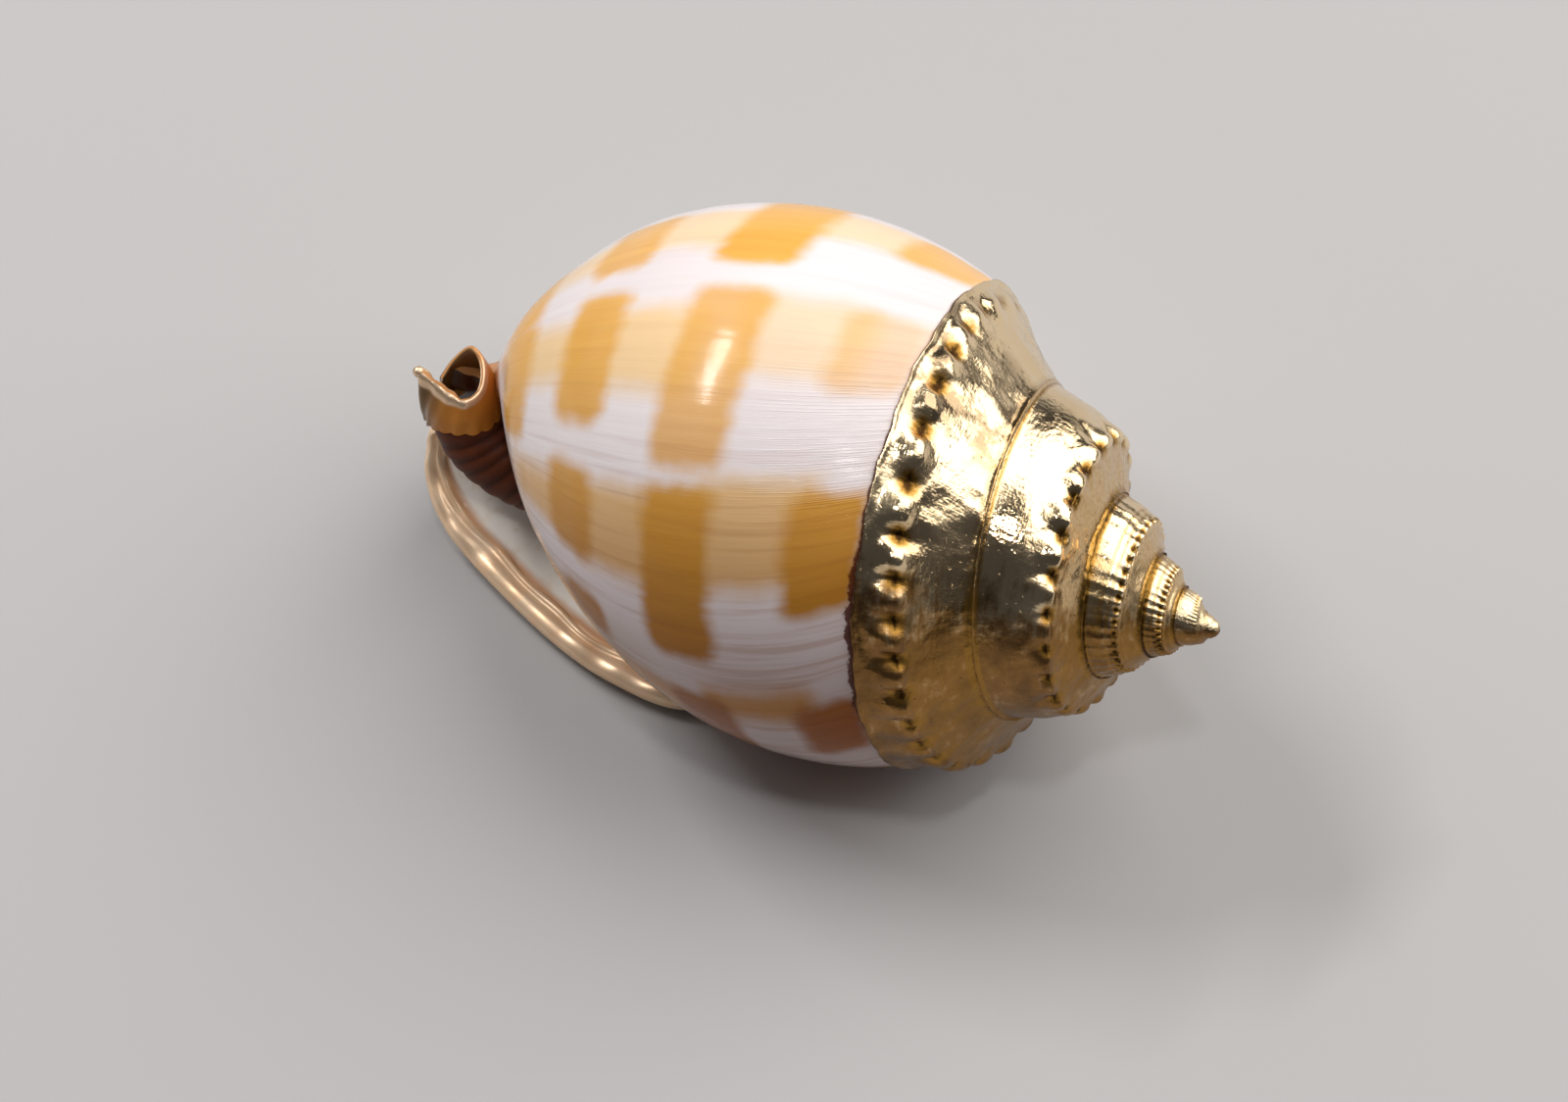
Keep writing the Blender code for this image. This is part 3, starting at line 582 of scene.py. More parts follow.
SHIELD_STATIONS, SHIELD_TAPER = 260, 2.6
LUMPS, SWAY = (0.34, 3.0, 0.40), (0.16, 9.0, 0.55)


def unevenness(run, rate, seed, height):
    """Slow, unrepeating waves along a run in millimetres."""
    return height * np.array([[noise.noise(Vector((float(r) * rate, seed, 0.0)))] for r in run[:, 0]])


edge = curve_through(SHIELD_EDGE, SHIELD_STATIONS) - FOOTPRINT_CENTRE
root = curve_through(SHIELD_ROOT, SHIELD_STATIONS) - FOOTPRINT_CENTRE
width = np.linalg.norm(root - edge, axis=1)[:, None]
across = unit(root - edge)
lift = unit(np.cross(np.gradient(edge, axis=0), across))
run = np.concatenate([[0.0], np.cumsum(np.linalg.norm(np.diff(edge, axis=0), axis=1))])[:, None]
lumps, sway = unevenness(run, *LUMPS), unevenness(run, *SWAY)
fit = np.clip(0.28 * width / 2.2, 0.3, 1.0)
# Each point of the section: millimetres in from the edge, millimetres up, share of the way to the root
section = [(np.where(a > 0, a * fit * (1.0 + sway * (a > 0.4)), a), b * (1.0 + lumps * (b > 0)), 0.0)
           for a, b in curve_through(ROLL, 44)]
section += [(0.0, -0.55 - 0.2 * (s - 0.35) / 0.65, s) for s in np.linspace(0.35, 1.0, 10)]
section += [(0.0, float(np.interp(s, (0.28, 0.6, 1.0), (0.15, 0.35, 0.75))), s)
            for s in np.linspace(1.0, 0.28, 16)]
rings = [edge + across * (a + s * width) + lift * b for a, b, s in section]
anchor = edge + 0.4 * across - 0.2 * lift
rings = [anchor + (ring - anchor) * (0.05 + 0.95 * ease(run / SHIELD_TAPER)) for ring in rings]
shield_from_edge = np.stack([(a + s * width)[:, 0] for a, b, s in section], axis=1).ravel()
shield = loft("shield", np.stack(rings, axis=1))
print("shield:", len(section), "points round", SHIELD_STATIONS, "sections")

# %% [markdown]
# ## One body
# A join leaves a hard line where two forms meet, which the real shell doesn't have. The voxel remesh rebuilds
# the joined parts with even faces, as if in fresh clay. Then we rub: each point moves towards the middle of
# its neighbours and part of the way back, which rounds a joint and keeps the size. The points of the open
# side are put back on the growth law, so that the gloss stays clean. The ridge, the shield and the scroll are
# joined after that, because the remesh would eat their thin edges.

# %% Join the coiled parts and even out their faces
VOXEL = 0.58
UNDER_LIP = ((-90, 8, -20), (10, 60, 1.2))


def block(name, low, high):
    """A box, as a loft between two squares."""
    (x0, y0, z0), (x1, y1, z1) = np.array((low, high)) - FOOTPRINT_CENTRE
    return loft(name, [[(x0, y0, z), (x1, y0, z), (x1, y1, z), (x0, y1, z)] for z in (z0, z1)])


join(shell, (hollow, "DIFFERENCE"), (block("under_lip", *UNDER_LIP), "DIFFERENCE"), (far_side, "UNION"),
     (lip, "UNION"))
remesh = shell.modifiers.new("even", "REMESH")
remesh.mode, remesh.voxel_size, remesh.use_smooth_shade = "VOXEL", VOXEL, True
settle(shell)

# %% Read and write many points at once


def read(items, key, width, kind=np.float32):
    """One array from a list that Blender keeps, with one row for each of its items."""
    flat = np.empty(len(items) * width, kind)
    items.foreach_get(key, flat)
    return flat.reshape(-1, width)


def read_points(mesh):
    return read(mesh.vertices, "co", 3).astype(float)


def write_points(mesh, points):
    mesh.vertices.foreach_set("co", np.ascontiguousarray(points, np.float32).ravel())
    mesh.update()


# %% Rub a joint


def neighbour_mean(points, edges):
    """Middle of each point's neighbours."""
    a, b = edges.T
    count = np.bincount(edges.ravel(), minlength=len(points))
    sums = [np.bincount(a, v[b], len(points)) + np.bincount(b, v[a], len(points)) for v in points.T]
    return np.stack(sums, axis=1) / np.maximum(count, 1)[:, None]


def rub(points, edges, strength, rounds):
    """Pulls each point towards its neighbours, then part of the way back."""
    for pull in (0.6, -0.4) * rounds:
        points = points + pull * strength[:, None] * (neighbour_mean(points, edges) - points)
    return points


# %% The way back from points to the growth law


def last_turn(points):
    """Turn, level and height above the open side's own surface, for points of the last turn."""
    angle, radius, depth = angle_radius_depth(points)
    turn = np.where(angle > LIP_ANGLE - 360.0, turn_of(angle), turn_of(angle + 360.0))
    level = depth / np.exp(DEPTH_RATE * turn)
    for _ in range(3):
        level = depth / depth_factor(level, turn)
    level = np.clip(level, 1.0, WALL[-1][0])
    return turn, level, radius - wall_point(level, turn)[:, 0]


def put_back(mesh, near=0.12, far=0.45):
    """Moves the points of the open side onto the growth law; the rubbed joints keep their own place."""
    points = read_points(mesh)
    turn, level, above = last_turn(points)
    hold = 1.0 - ease((np.abs(above) - near) / (far - near))
    hold *= (level > 23.0) * ease((60.5 - level) / 1.5)
    shift = np.where(hold > 0, above * hold, 0.0)
    down = place(turn, 1.0, 0.0) - place(turn, 0.0, 0.0)
    write_points(mesh, points - down * shift[:, None])
    return hold


# %% Rub the joints smooth
RUB_ROUNDS, HELD_SHARE = 12, 0.8
mesh = shell.data
edges = read(mesh.edges, "vertices", 2, np.int32)
hold = put_back(mesh)
write_points(mesh, rub(read_points(mesh), edges, 1.0 - HELD_SHARE * hold, RUB_ROUNDS))
hold = put_back(mesh)
print("share of points on the growth law:", round(float((hold > 0.9).mean()), 2))

# %% Join the fine front parts
CREASE = math.radians(42.0)
shield_points = read_points(shield.data)
surfaces = {part.name: BVHTree.FromPolygons([v.co for v in part.data.vertices],
                                            [tuple(p.vertices) for p in part.data.polygons])
            for part in (shell, ridge, bore, shield, scroll)}
join(shell, (ridge, "UNION"), (bore, "DIFFERENCE"), (shield, "UNION"), (scroll, "UNION"))
shell.data.shade_smooth()
shell.data.set_sharp_from_angle(angle=CREASE)

# %% [markdown]
# ## The gilded cap
# The metal was grown on the shell in a bath, so it follows every knob and rib, rounds them a little, and
# ends in a raised bead where the bare shell begins. We build it from the same laws as a thin closed skin:
# an outside sheet with the relief, an inside sheet, and a rim.

# %% Cap sheet
CAP_COLUMNS = 300
CAP_END = float(turn_of(229.0))
CAP_FIRST_TURN, CAP_TIP_DEPTH = -5.2, 0.08
CAP_THICKNESS = 0.35
NEAR_SUTURE = (0.0, 0.02, 0.04, 0.06, 0.09, 0.13, 0.2, 0.3, 0.45, 0.65, 0.85, 1.1, 1.35, 1.6, 1.8)
NEAR_RIM = (4.2, 4.4, 4.58, 4.72, 4.83, 4.92, 5.0)
PROFILE_STEPS = np.concatenate([NEAR_SUTURE, np.linspace(2.0, 4.0, 14), NEAR_RIM])
SHOULDER_STEP = 3.0
EDGE_ROW = len(PROFILE_STEPS) - 1
SEAM_SHARES = (0.35, 0.65, 0.80, 0.90, 0.945, 0.975, 1.0)
EDGE_WAVES = ((0.07, 13, 0.0), (0.05, 29, 1.0), (0.03, 61, 0.0))


def edge_level(turn):
    """The free edge of the metal wanders a little."""
    angle = 2 * math.pi * turn
    waves = (height * np.sin(count * angle + start) for height, count, start in EDGE_WAVES)
    return sum(waves, EDGE_LEVEL)


def cap_rows(turns):
    """Smooth outline from suture over ramp and shoulder to the free edge, then on to the next suture."""
    edge, rim = shoulder(turns), side_point(edge_level(turns), turns)
    ramp = ramp_point(turns)
    near_shoulder, on_flank = ramp + 0.68 * (edge - ramp), edge + 0.4 * (rim - edge)
    controls = np.stack([suture(turns), ramp, near_shoulder, edge, on_flank, rim])
    fine = curve_through(controls.reshape(6, -1), 501)
    flat = fine[np.round(PROFILE_STEPS * 100).astype(int)].reshape(len(PROFILE_STEPS), -1, 2)
    seam = seam_point(turns)
    return list(flat) + [rim + (seam - rim) * share for share in SEAM_SHARES]


def cap_sheet(first, tip_depth):
    """Up to the free edge on the last turn, and to the seam before it."""
    turns = columns_to(CAP_END, first, CAP_COLUMNS)
    sheet = SpiralSheet(turns, CAP_COLUMNS, cap_rows(turns), EDGE_ROW + len(SEAM_SHARES), 99.0, tip_depth)
    late = sheet.turn > CAP_END - 1.0 + 0.5 / CAP_COLUMNS
    beyond = late & (sheet.row > EDGE_ROW)
    sheet.quads = sheet.quads[~beyond[sheet.quads].any(axis=1)]
    return sheet


outer = cap_sheet(CAP_FIRST_TURN, CAP_TIP_DEPTH)
inner = cap_sheet(CORE_FIRST_TURN, CORE_TIP_DEPTH)
print("cap outside:", len(outer.points), "points")

# %% [markdown]
# ## Knobs, pleats and cords
# The last two turns carry rounded knobs, low on the flank and steep towards the ramp. The older turns are
# pleated like a skirt and crossed by cords, with a bead wherever the two meet. The places of the knobs are
# uneven, as in nature: the snail adds one whenever it has grown far enough.

# %% Places of the knobs
SEEN_KNOBS = (-24, -13, -2, 8, 19, 29, 40, 50, 61, 75, 88, 100, 110, 120, 131, 143, 156)
HIDDEN_GAP = 12.5
OLDER_GAPS = ((-2.0, -1.65, -1.5, -0.7, -0.4), (9.6, 10.0, 16.0, 16.0, HIDDEN_GAP))


def knob_turns():
    """Turns of the knobs: as in the photograph, then even gaps onward, and older gaps back to the tip."""
    places = [float(turn_of(a)) for a in SEEN_KNOBS]
    while places[-1] < CAP_END + 0.1:
        places.append(places[-1] + HIDDEN_GAP / 360.0)
    back = [places[0]]
    while back[-1] > CAP_FIRST_TURN - 0.1:
        back.append(back[-1] - np.interp(back[-1], *OLDER_GAPS) / 360.0)
    return np.array(back[:0:-1] + places)


KNOB_TURNS = knob_turns()
print(len(KNOB_TURNS), "knobs and pleats")

# %% Distances along the outline


def outline_places(sheet):
    """Millimetres along the outline: from the suture, past the shoulder, to the free edge, to the seam."""
    rows = np.stack(cap_rows(sheet.turn), axis=1)
    steps = np.linalg.norm(np.diff(rows, axis=1), axis=2)
    run = np.concatenate([np.zeros((len(rows), 1)), np.cumsum(steps, axis=1)], axis=1)
    here = run[np.arange(len(rows)), sheet.row]
    shoulder_row = int(np.argmin(np.abs(PROFILE_STEPS - SHOULDER_STEP)))
    return here, here - run[:, shoulder_row], run[:, EDGE_ROW] - here, run[:, -1] - here


def bump_along(distance, before, after):
    """A hill that is steep before its top and gentle after it."""
    return np.exp(-(distance / np.where(distance < 0, before, after)) ** 2)


def noise_at(points, *layers):
    """Soft noise at each point: layers are (fineness, height)."""
    return np.array([sum(height * noise.noise(Vector(p * fineness)) for fineness, height in layers)
                     for p in points])


from_suture, from_shoulder, to_edge, to_seam = outline_places(outer)
angle = outer.turn * 360.0 + FRONT_ANGLE
print("longest way from seam to edge:", round(float(from_suture.max()), 1), "mm")

# %% Knobs of the last two turns
FULL_SIZE = 18.0
KNOB_HEIGHT, PIT_DEPTH, KNOB_SPREAD = 0.56, 0.46, 0.35
size = np.minimum(1.0, law(SHOULDER_RADIUS, outer.turn) / FULL_SIZE)
phase = np.interp(outer.turn, KNOB_TURNS, np.arange(len(KNOB_TURNS)))
rise = 0.5 + 0.5 * np.cos(2 * math.pi * phase)
grown = ease((outer.turn + 4.2) / 0.6)
knobbed = ease((outer.turn + 1.72) / 0.25)
pleated = (1.0 - knobbed) * grown
uneven = np.array([noise.noise(Vector((k * 3.7, 0.5, 0.0))) for k in range(len(KNOB_TURNS))])
strength = 1.0 + KNOB_SPREAD * np.interp(phase, np.arange(len(KNOB_TURNS)), uneven)
fading = 1.0 - 0.70 * ease((angle - 96.0) / 26.0) * (outer.turn > -0.4)
fading = fading * (1.0 - 0.45 * ease((30.0 - outer.turn * 360.0 - FRONT_ANGLE) / 30.0) * (outer.turn > -0.5))
gap = (1.0 - rise) ** 1.5
fold = (0.5 - gap) * bump_along(from_shoulder - 0.7 * size, 1.4 * size, 1.6 * size)
pit = gap ** 1.3 * bump_along(from_shoulder - 0.05 * size, 0.80 * size, 1.0 * size)
fold = fold * np.where(outer.turn > CAP_END - 1.0, ease((to_edge - 0.2) / 1.6), 1.0)
relief = size * knobbed * strength * fading * (KNOB_HEIGHT * fold - PIT_DEPTH * pit)
print("knobs from", relief.min().round(2), "to", relief.max().round(2), "mm")

# %% Pleats, cords and threads
PLEAT, PEG, PEG_GAP, CORD, THREAD = 0.07, 0.13, 0.12, 0.08, 0.045
CORD_SPACING, THREAD_SPACING = 0.55, 0.5
flank = ease(from_shoulder / (0.6 * size) + 0.8)
cords = 0.5 + 0.5 * np.cos(2 * math.pi * from_shoulder / CORD_SPACING)
peg = bump_along(from_shoulder - 0.1, 0.22, 0.35)
small = np.minimum(1.0, 0.35 + size * 1.6)
worn = 0.75 + noise_at(outer.points, (0.9, 0.5))
pleats = rise ** 1.5 * (PLEAT * flank + PEG * peg) - PEG_GAP * peg * (1.0 - rise) ** 2
pleats += CORD * cords * flank * (0.4 + 0.6 * rise)
ramp_threads = 0.5 + 0.5 * np.cos(2 * math.pi * from_suture / THREAD_SPACING)
on_ramp = ease(-from_shoulder / (0.5 * size) - 0.6)
relief += small * pleated * worn * pleats
relief += THREAD * ramp_threads * on_ramp * (0.2 + 0.8 * pleated) * grown

# %% Ropes on the seams, the bead at the edge, and dents
ROPE_HEIGHT, ROPE_WIDTH, BEAD_HEIGHT, BEAD_WIDTH, DENTS = 0.30, 0.27, 0.30, 0.3, 0.15
beyond_edge = outer.row > EDGE_ROW
off_seam = np.where(beyond_edge, to_seam, from_suture)
rope_width = ROPE_WIDTH * np.sqrt(size)
relief += ROPE_HEIGHT * np.sqrt(size) * grown * bump_along(off_seam, rope_width, rope_width)
bead = bump_along(to_edge, BEAD_WIDTH, BEAD_WIDTH)
relief += BEAD_HEIGHT * bead * ease((outer.turn - (CAP_END - 1.0)) / 0.1)
cells = noise_at(outer.points, (0.50, 1.0), (1.3, 0.55))
relief += DENTS * cells * np.minimum(1.0, size * 1.5) * ease(to_edge / 1.0)
print("relief from", relief.min().round(2), "to", relief.max().round(2), "mm")

# %% [markdown]
# ## A closed skin
# A skin could come from the Solidify modifier, but where the relief is deep its inside would cross itself.
# Our inside sheet is smooth. It lies a little under the outline without relief, and deeper under the pits.
# Where the two sheets are open we sew their borders together. The tip of the spire is worn, so the outside
# sheet is pushed back there and ends in a small dome.

# %% Close the skin
TIP_BACK, TIP_REACH, TIP_ROUND = 0.33, 1.5, 0.75


def draw_back_tip(points):
    """The worn tip: the last part of the apex is pushed back along the axis and ends in a small dome."""
    depth = angle_radius_depth(points)[2]
    back = TIP_BACK * np.clip(1.0 - depth / TIP_REACH, 0.0, 1.0)
    axis = place(0.0, 0.0, 1.0) - place(0.0, 0.0, 0.0)
    points = points + axis * back[:, None]
    _, radius, depth = angle_radius_depth(points)
    below = np.clip(depth - depth.min(), 0.0, TIP_ROUND)
    missing = np.maximum(np.sqrt(2 * TIP_ROUND * below - below ** 2) - radius, 0.0)
    missing = missing * (radius > 1e-4) * (depth < TIP_REACH)
    outward = points - (place(0.0, 0.0, 0.0) + axis * depth[:, None])
    return points + outward * (missing / np.maximum(radius, 1e-4))[:, None]


def cap_solid(name, relief):
    """Outside and inside sheets, sewn together along their borders; also says which points it kept."""
    outside = draw_back_tip(outer.points + outer.normals() * relief[:, None])
    valid = inner.index >= 0
    offset = len(outer.index) - len(inner.index)
    dips = np.zeros(len(inner.points))
    dips[inner.index[valid]] = np.minimum(relief[outer.index[offset:][valid]], 0.0)
    inside = inner.points - inner.normals() * (CAP_THICKNESS - dips)[:, None]
    shift = len(outside)
    faces = outer.faces()
    used = {(a, b) for face in faces for a, b in zip(face, face[1:] + face[:1])}
    border = [(a, b) for a, b in used if (b, a) not in used]
    partner = np.full(len(outside), -1)
    partner[outer.index[offset:][valid]] = inner.index[valid] + shift
    faces += [tuple(shift + v for v in reversed(f)) for f in inner.faces()]
    faces += [(b, a, int(partner[a]), int(partner[b])) for a, b in sorted(border)]
    points = np.vstack([outside, inside])
    touched = np.zeros(len(points), bool)
    touched[np.concatenate([np.asarray(face) for face in faces])] = True
    renumber = np.cumsum(touched) - 1
    obj = solid(name, points[touched], [tuple(int(renumber[v]) for v in face) for face in faces])
    obj.data.shade_smooth()
    print(name, len(obj.data.vertices), "points", len(obj.data.polygons), "faces,", len(border), "rim faces")
    return obj, touched


cap, cap_used = cap_solid("spire_cap_detail", relief)

# %% Values for the metal's finish, and fewer faces inside
HIDDEN_SHARE = 0.72


def add_values(obj, name, values):
    """Stores one number per point, for the finishes to read."""
    layer = obj.data.attributes.new(name, "FLOAT", "POINT")
    layer.data.foreach_set("value", np.ascontiguousarray(values, np.float32))


def thin_out(obj, chosen, share):
    """Fewer faces where nobody looks: collapses edges among the chosen points only."""
    group = obj.vertex_groups.new(name="hidden")
    group.add([int(k) for k in np.nonzero(chosen)[0]], 1.0, "REPLACE")
    thin = obj.modifiers.new("thin_out", "DECIMATE")
    thin.ratio, thin.vertex_group = share, group.name
    settle(obj)


def over_cap(values, inside):
    """Values of the outside points, and one value for all inside points, in the cap's own order."""
    return np.concatenate([values, np.full(len(inner.points), inside)])[cap_used]


# Darker in pits, pleat gaps, beside seam ropes and on older ramps: partly tarnish, partly painted shade.
beside_rope = np.exp(-((off_seam - 0.5 * np.sqrt(size)) / 0.16) ** 2)
pit_shade_and_tarnish = 0.9 * knobbed * pit * np.clip(1.4 * fading, 0.0, 1.0)
pit_shade_and_tarnish += pleated * (0.7 * (1.0 - rise) ** 2 * peg + 0.3 * (1.0 - cords) * flank)
pit_shade_and_tarnish += np.where(beyond_edge, 0.45, 0.12) * beside_rope * grown
pit_shade_and_tarnish += 0.30 * np.exp(-(off_seam / (0.32 * np.sqrt(size))) ** 2) * grown
pit_shade_and_tarnish += 0.25 * on_ramp * ease((0.25 - outer.turn) / 0.5) * grown
# 1 on the lower side of the turns, where the gold's colour gets a painted dark reflection and shade.
lowness = ease((np.cos(np.radians(angle + 62.0)) + 0.72) / 0.95)
add_values(cap, "growth", over_cap(outer.turn * 360.0, 0.0))
add_values(cap, "run", over_cap(from_suture, 0.0))
add_values(cap, "tarnish_and_shade", over_cap(np.clip(pit_shade_and_tarnish, 0.0, 1.0), 1.0))
add_values(cap, "low", over_cap(lowness, 1.0))
thin_out(cap, over_cap(np.zeros(len(outer.points)), 1.0) > 0.5, HIDDEN_SHARE)

# %% [markdown]
# ## Colours of the lime
# The squares are dye that the animal lays down while it builds: rows at fixed levels, switched on and off
# together, so they stand in bands. A picture wrapped round the shell would blur. We give each point its
# distance to the nearest band edge and row edge instead, and the material turns distances into soft borders.

# %% Rows and bands of colour
ROWS = ((23.0, 28.6), (34.4, 40.4), (45.9, 50.8), (55.0, 58.6))
BETWEEN = ((26.4, 36.4), (38.4, 48.0), (48.8, 56.4))
# Growth lines, in degrees, at which each band starts and ends: four rows, then the three tints between them
BANDS = (((-8, 13), (-24, 14), (19, 32), (16, 26), (8, 18), (-3, 14), (16, 28)),
         ((37, 64), (26, 65), (42, 65), (48, 60), (44, 67), (42, 62), (46, 60)),
         ((86, 107), (69, 109), (75, 108), (66, 107), (89, 108), (84, 103), (85, 101)),
         ((128, 146), (117, 150), (116, 141), (106, 138), (130, 146), (122, 140), (120, 134)))
ROW_DYE = ((1.0, 1.0, 1.0, 0.3), (1.0, 1.0, 0.95, 0.3), (0.55, 0.85, 0.95, 0.95), (0.9, 1.0, 0.9, 1.0))
TINT_DYE = ((0.95, 0.95, 0.95), (0.95, 0.95, 0.95), (0.62, 0.90, 0.90), (0.70, 0.75, 0.75))
HIDDEN_BANDS, HIDDEN_SPACING, HIDDEN_START, HIDDEN_STAGGER = 3, 42.0, 50.0, 37.0
HIDDEN_TINT_DYE = (0.35, 0.35, 0.35)
CORNER, FAR_OUTSIDE = 1.3, -6.0


def growth_line(turn, level):
    """All points laid down at the same time have the same value, in degrees."""
    lag = 16.0 * (1.0 - np.exp(-np.maximum(level - 23.2, -3.0) / 9.0))
    return turn * 360.0 + FRONT_ANGLE + lag


def all_bands():
    """The bands that show in front, and two of them repeated round the rest of the turn."""
    bands = [(np.array(band, float), rows, tints) for band, rows, tints in zip(BANDS, ROW_DYE, TINT_DYE)]
    for k in range(1, HIDDEN_BANDS + 1):
        before = np.array(BANDS[1], float) - HIDDEN_START - k * HIDDEN_SPACING
        behind = np.array(BANDS[3 - k % 2], float) + k * HIDDEN_SPACING + HIDDEN_STAGGER * (k % 2)
        bands.insert(0, (before, ROW_DYE[1], TINT_DYE[1]))
        bands.append((behind, ROW_DYE[3], HIDDEN_TINT_DYE))
    return bands


def strongest(cells, line, level, per_degree):
    """Distance in millimetres inside the nearest cell, with rounded corners, and the strength of its dye."""
    best, strength = np.full(len(line), FAR_OUTSIDE), np.zeros(len(line))
    for start, end, low, high, dye in cells:
        across = np.minimum(line - start, end - line) * per_degree
        along = np.minimum(level - low, high - level)
        missing = np.hypot(np.maximum(CORNER - across, 0.0), np.maximum(CORNER - along, 0.0))
        inside = np.where(missing > 0, CORNER - missing, np.minimum(across, along))
        nearer = inside > best
        best[nearer], strength[nearer] = inside[nearer], dye
    return best, strength


points = read_points(shell.data)
turn, level, above = last_turn(points)
line = growth_line(turn, level)
per_degree = np.radians(1.0) * np.interp(level, *WALL_CURVE.T) * np.exp(RADIUS_RATE * turn)
squares = [(*band[k], *ROWS[k], rows[k]) for band, rows, _ in all_bands() for k in range(4)]
tints = [(*band[4 + k], *BETWEEN[k], tint[k]) for band, _, tint in all_bands() for k in range(3)]
square_mm, square_dye = strongest(squares, line, level, per_degree)
tint_mm, tint_dye = strongest(tints, line, level, per_degree)
edge_mm = (level - edge_level(turn)) * np.exp(DEPTH_RATE * turn)
print(len(squares), "squares, points in them:", int((square_mm > 0).sum()))

# %% [markdown]
# ## Which part a face belongs to
# After the join the front is one mesh, but the brown ridge, the pearly shield and the scroll need paint of
# their own. A distance threshold gives saw-toothed borders. So we kept the surface of each part from before
# the join, and each face takes the name of the surface that it lies nearest to. That follows every seam.

# %% Where the front's own colours lie
FRONT_X = 12.0
PART_REACH, BORDER_REACH, COLOUR_REACH = 0.5, 3.0, 6.0
RIM_FROM, RIM_FADE_FROM = 0.86, 0.58


def nearest_in(others, points):
    """Distance to the nearest of other points, and which one that is; far points keep the reach."""
    tree = kdtree.KDTree(len(others))
    for k, other in enumerate(others):
        tree.insert(other, k)
    tree.balance()
    distance, which = np.full(len(points), COLOUR_REACH), np.zeros(len(points), int)
    for k in np.nonzero(points[:, 0] < FRONT_X)[0]:
        _, index, away = tree.find(points[k])
        if away < COLOUR_REACH:
            distance[k], which[k] = away, index
    return distance, which


def near_surface(surface, points, reach):
    """Distance from points to a part's surface, up to a reach."""
    out = np.full(len(points), reach)
    for k in np.nonzero(points[:, 0] < FRONT_X)[0]:
        found = surface.find_nearest(Vector(points[k]), reach)
        if found[0] is not None:
            out[k] = found[3]
    return out


middles = read(shell.data.polygons, "center", 3).astype(float)
distances = np.array([near_surface(surface, middles, PART_REACH) for surface in surfaces.values()])
nearest_part = np.argmin(distances, axis=0)
for k, part in enumerate(surfaces):
    layer = shell.data.attributes.new("on_" + part, "FLOAT", "FACE")
    layer.data.foreach_set("value", (nearest_part == k).astype(np.float32))
    print(part, int((nearest_part == k).sum()), "faces")

# %% Values at the points, for the finish to read
scroll_away, which = nearest_in(np.vstack(loops), points)
loop, column = which // (2 * SCROLL_SAMPLES), which % (2 * SCROLL_SAMPLES)
scroll_height = np.clip((loop - 2) / (SCROLL_ROWS - 1.0), 0.0, 1.2)
scroll_share = np.minimum(column, 2 * SCROLL_SAMPLES - 1 - column) / SCROLL_SAMPLES
scroll_rim = np.where(scroll_away < 0.5, ease((scroll_height - RIM_FROM) / 0.08), 0.0)
scroll_rim = scroll_rim * (1.0 - 0.75 * ease((scroll_share - RIM_FADE_FROM) / 0.1))
mouth_mm, ridge_crest = ridge_bands(points)
borders = [near_surface(surfaces[part], points, BORDER_REACH) for part in ("ridge", "shield", "scroll")]
front_values = {
    "growth": line, "level": level, "edge_mm": edge_mm,
    "square_mm": square_mm, "square_dye": square_dye, "tint_mm": tint_mm, "tint_dye": tint_dye,
    "off_wall": ease((np.abs(above) - 0.12) / 0.3), "inside": ease((-above - 0.5) / 0.5),
    "border_mm": np.minimum.reduce(borders), "mouth_mm": mouth_mm, "ridge_crest": ridge_crest,
    "rim_mm": shield_from_edge[nearest_in(shield_points, points)[1]],
    "scroll_height": scroll_height, "scroll_rim": scroll_rim,
    "scroll_inside": (column >= SCROLL_SAMPLES) * (1.0 - scroll_rim)}
for name, values in front_values.items():
    add_values(shell, name, values)
print(len(front_values), "values stored at", len(points), "points")

# %% [markdown]
# ## Into the measured box
# So far we worked in millimetres. The measured model is in metres and has flat facets, so our finer curves
# bulge a hair past it. We find the worst corner of the box and shrink both pieces by that share. The lowest
# points are pressed flat onto the floor, as in the measured model.

# %% Bring both pieces to metres, inside the measured box
low, high = np.array(solid_box) / MM
everything = np.vstack([read_points(shell.data), read_points(cap.data)])
over = np.concatenate([everything.max(axis=0) / high, everything[:, :2].min(axis=0) / low[:2]])
shrink = min(1.0, float((1.0 / over).min()))
print("outermost share of the box:", over.round(4), "so everything shrinks by", round(1 - shrink, 5))
print("lowest point:", round(float(everything[:, 2].min()), 3))
for obj in (shell, cap):
    points = read_points(obj.data)
    points[:, 2] = np.maximum(points[:, 2], 0.0)
    write_points(obj.data, points * shrink * MM)

# %% [markdown]
# ## A short way to write materials
# In Blender a material is a net of nodes. Drawn by hand a net is clear, but in a script each sum takes
# three lines. So we wrap an output socket in a Field that knows plus, minus and times, and each sum becomes
# a Math node by itself. Then a finish reads like a formula.

# %% Fields and finishes


def colour(*shades):
    """A colour given as it looks on a screen, 0 to 255, in the renderer's linear terms."""
    shares = [shade / 255.0 for shade in shades]
    return (*(s / 12.92 if s <= 0.04045 else ((s + 0.055) / 1.055) ** 2.4 for s in shares), 1.0)


class Field:
    """A number, colour or direction that varies over the surface."""

    def __init__(self, finish, socket):
        self.finish, self.socket = finish, socket

    def __add__(self, other):
        return self.finish.math("ADD", self, other)

    def __sub__(self, other):
        return self.finish.math("SUBTRACT", self, other)

    def __mul__(self, other):
        return self.finish.math("MULTIPLY", self, other)

    def __abs__(self):
        return self.finish.math("ABSOLUTE", self, 0.0)

    def limited(self):
        """Kept between 0 and 1."""
        return self.finish.node("ShaderNodeClamp", "Result", {"Value": self})

    def step(self, none, full):
        """0 up to one value and 1 from the other on, with a soft S between them."""
        inputs = {"Value": self, "From Min": none, "From Max": full}
        return self.finish.node("ShaderNodeMapRange", "Result", inputs, interpolation_type="SMOOTHSTEP")


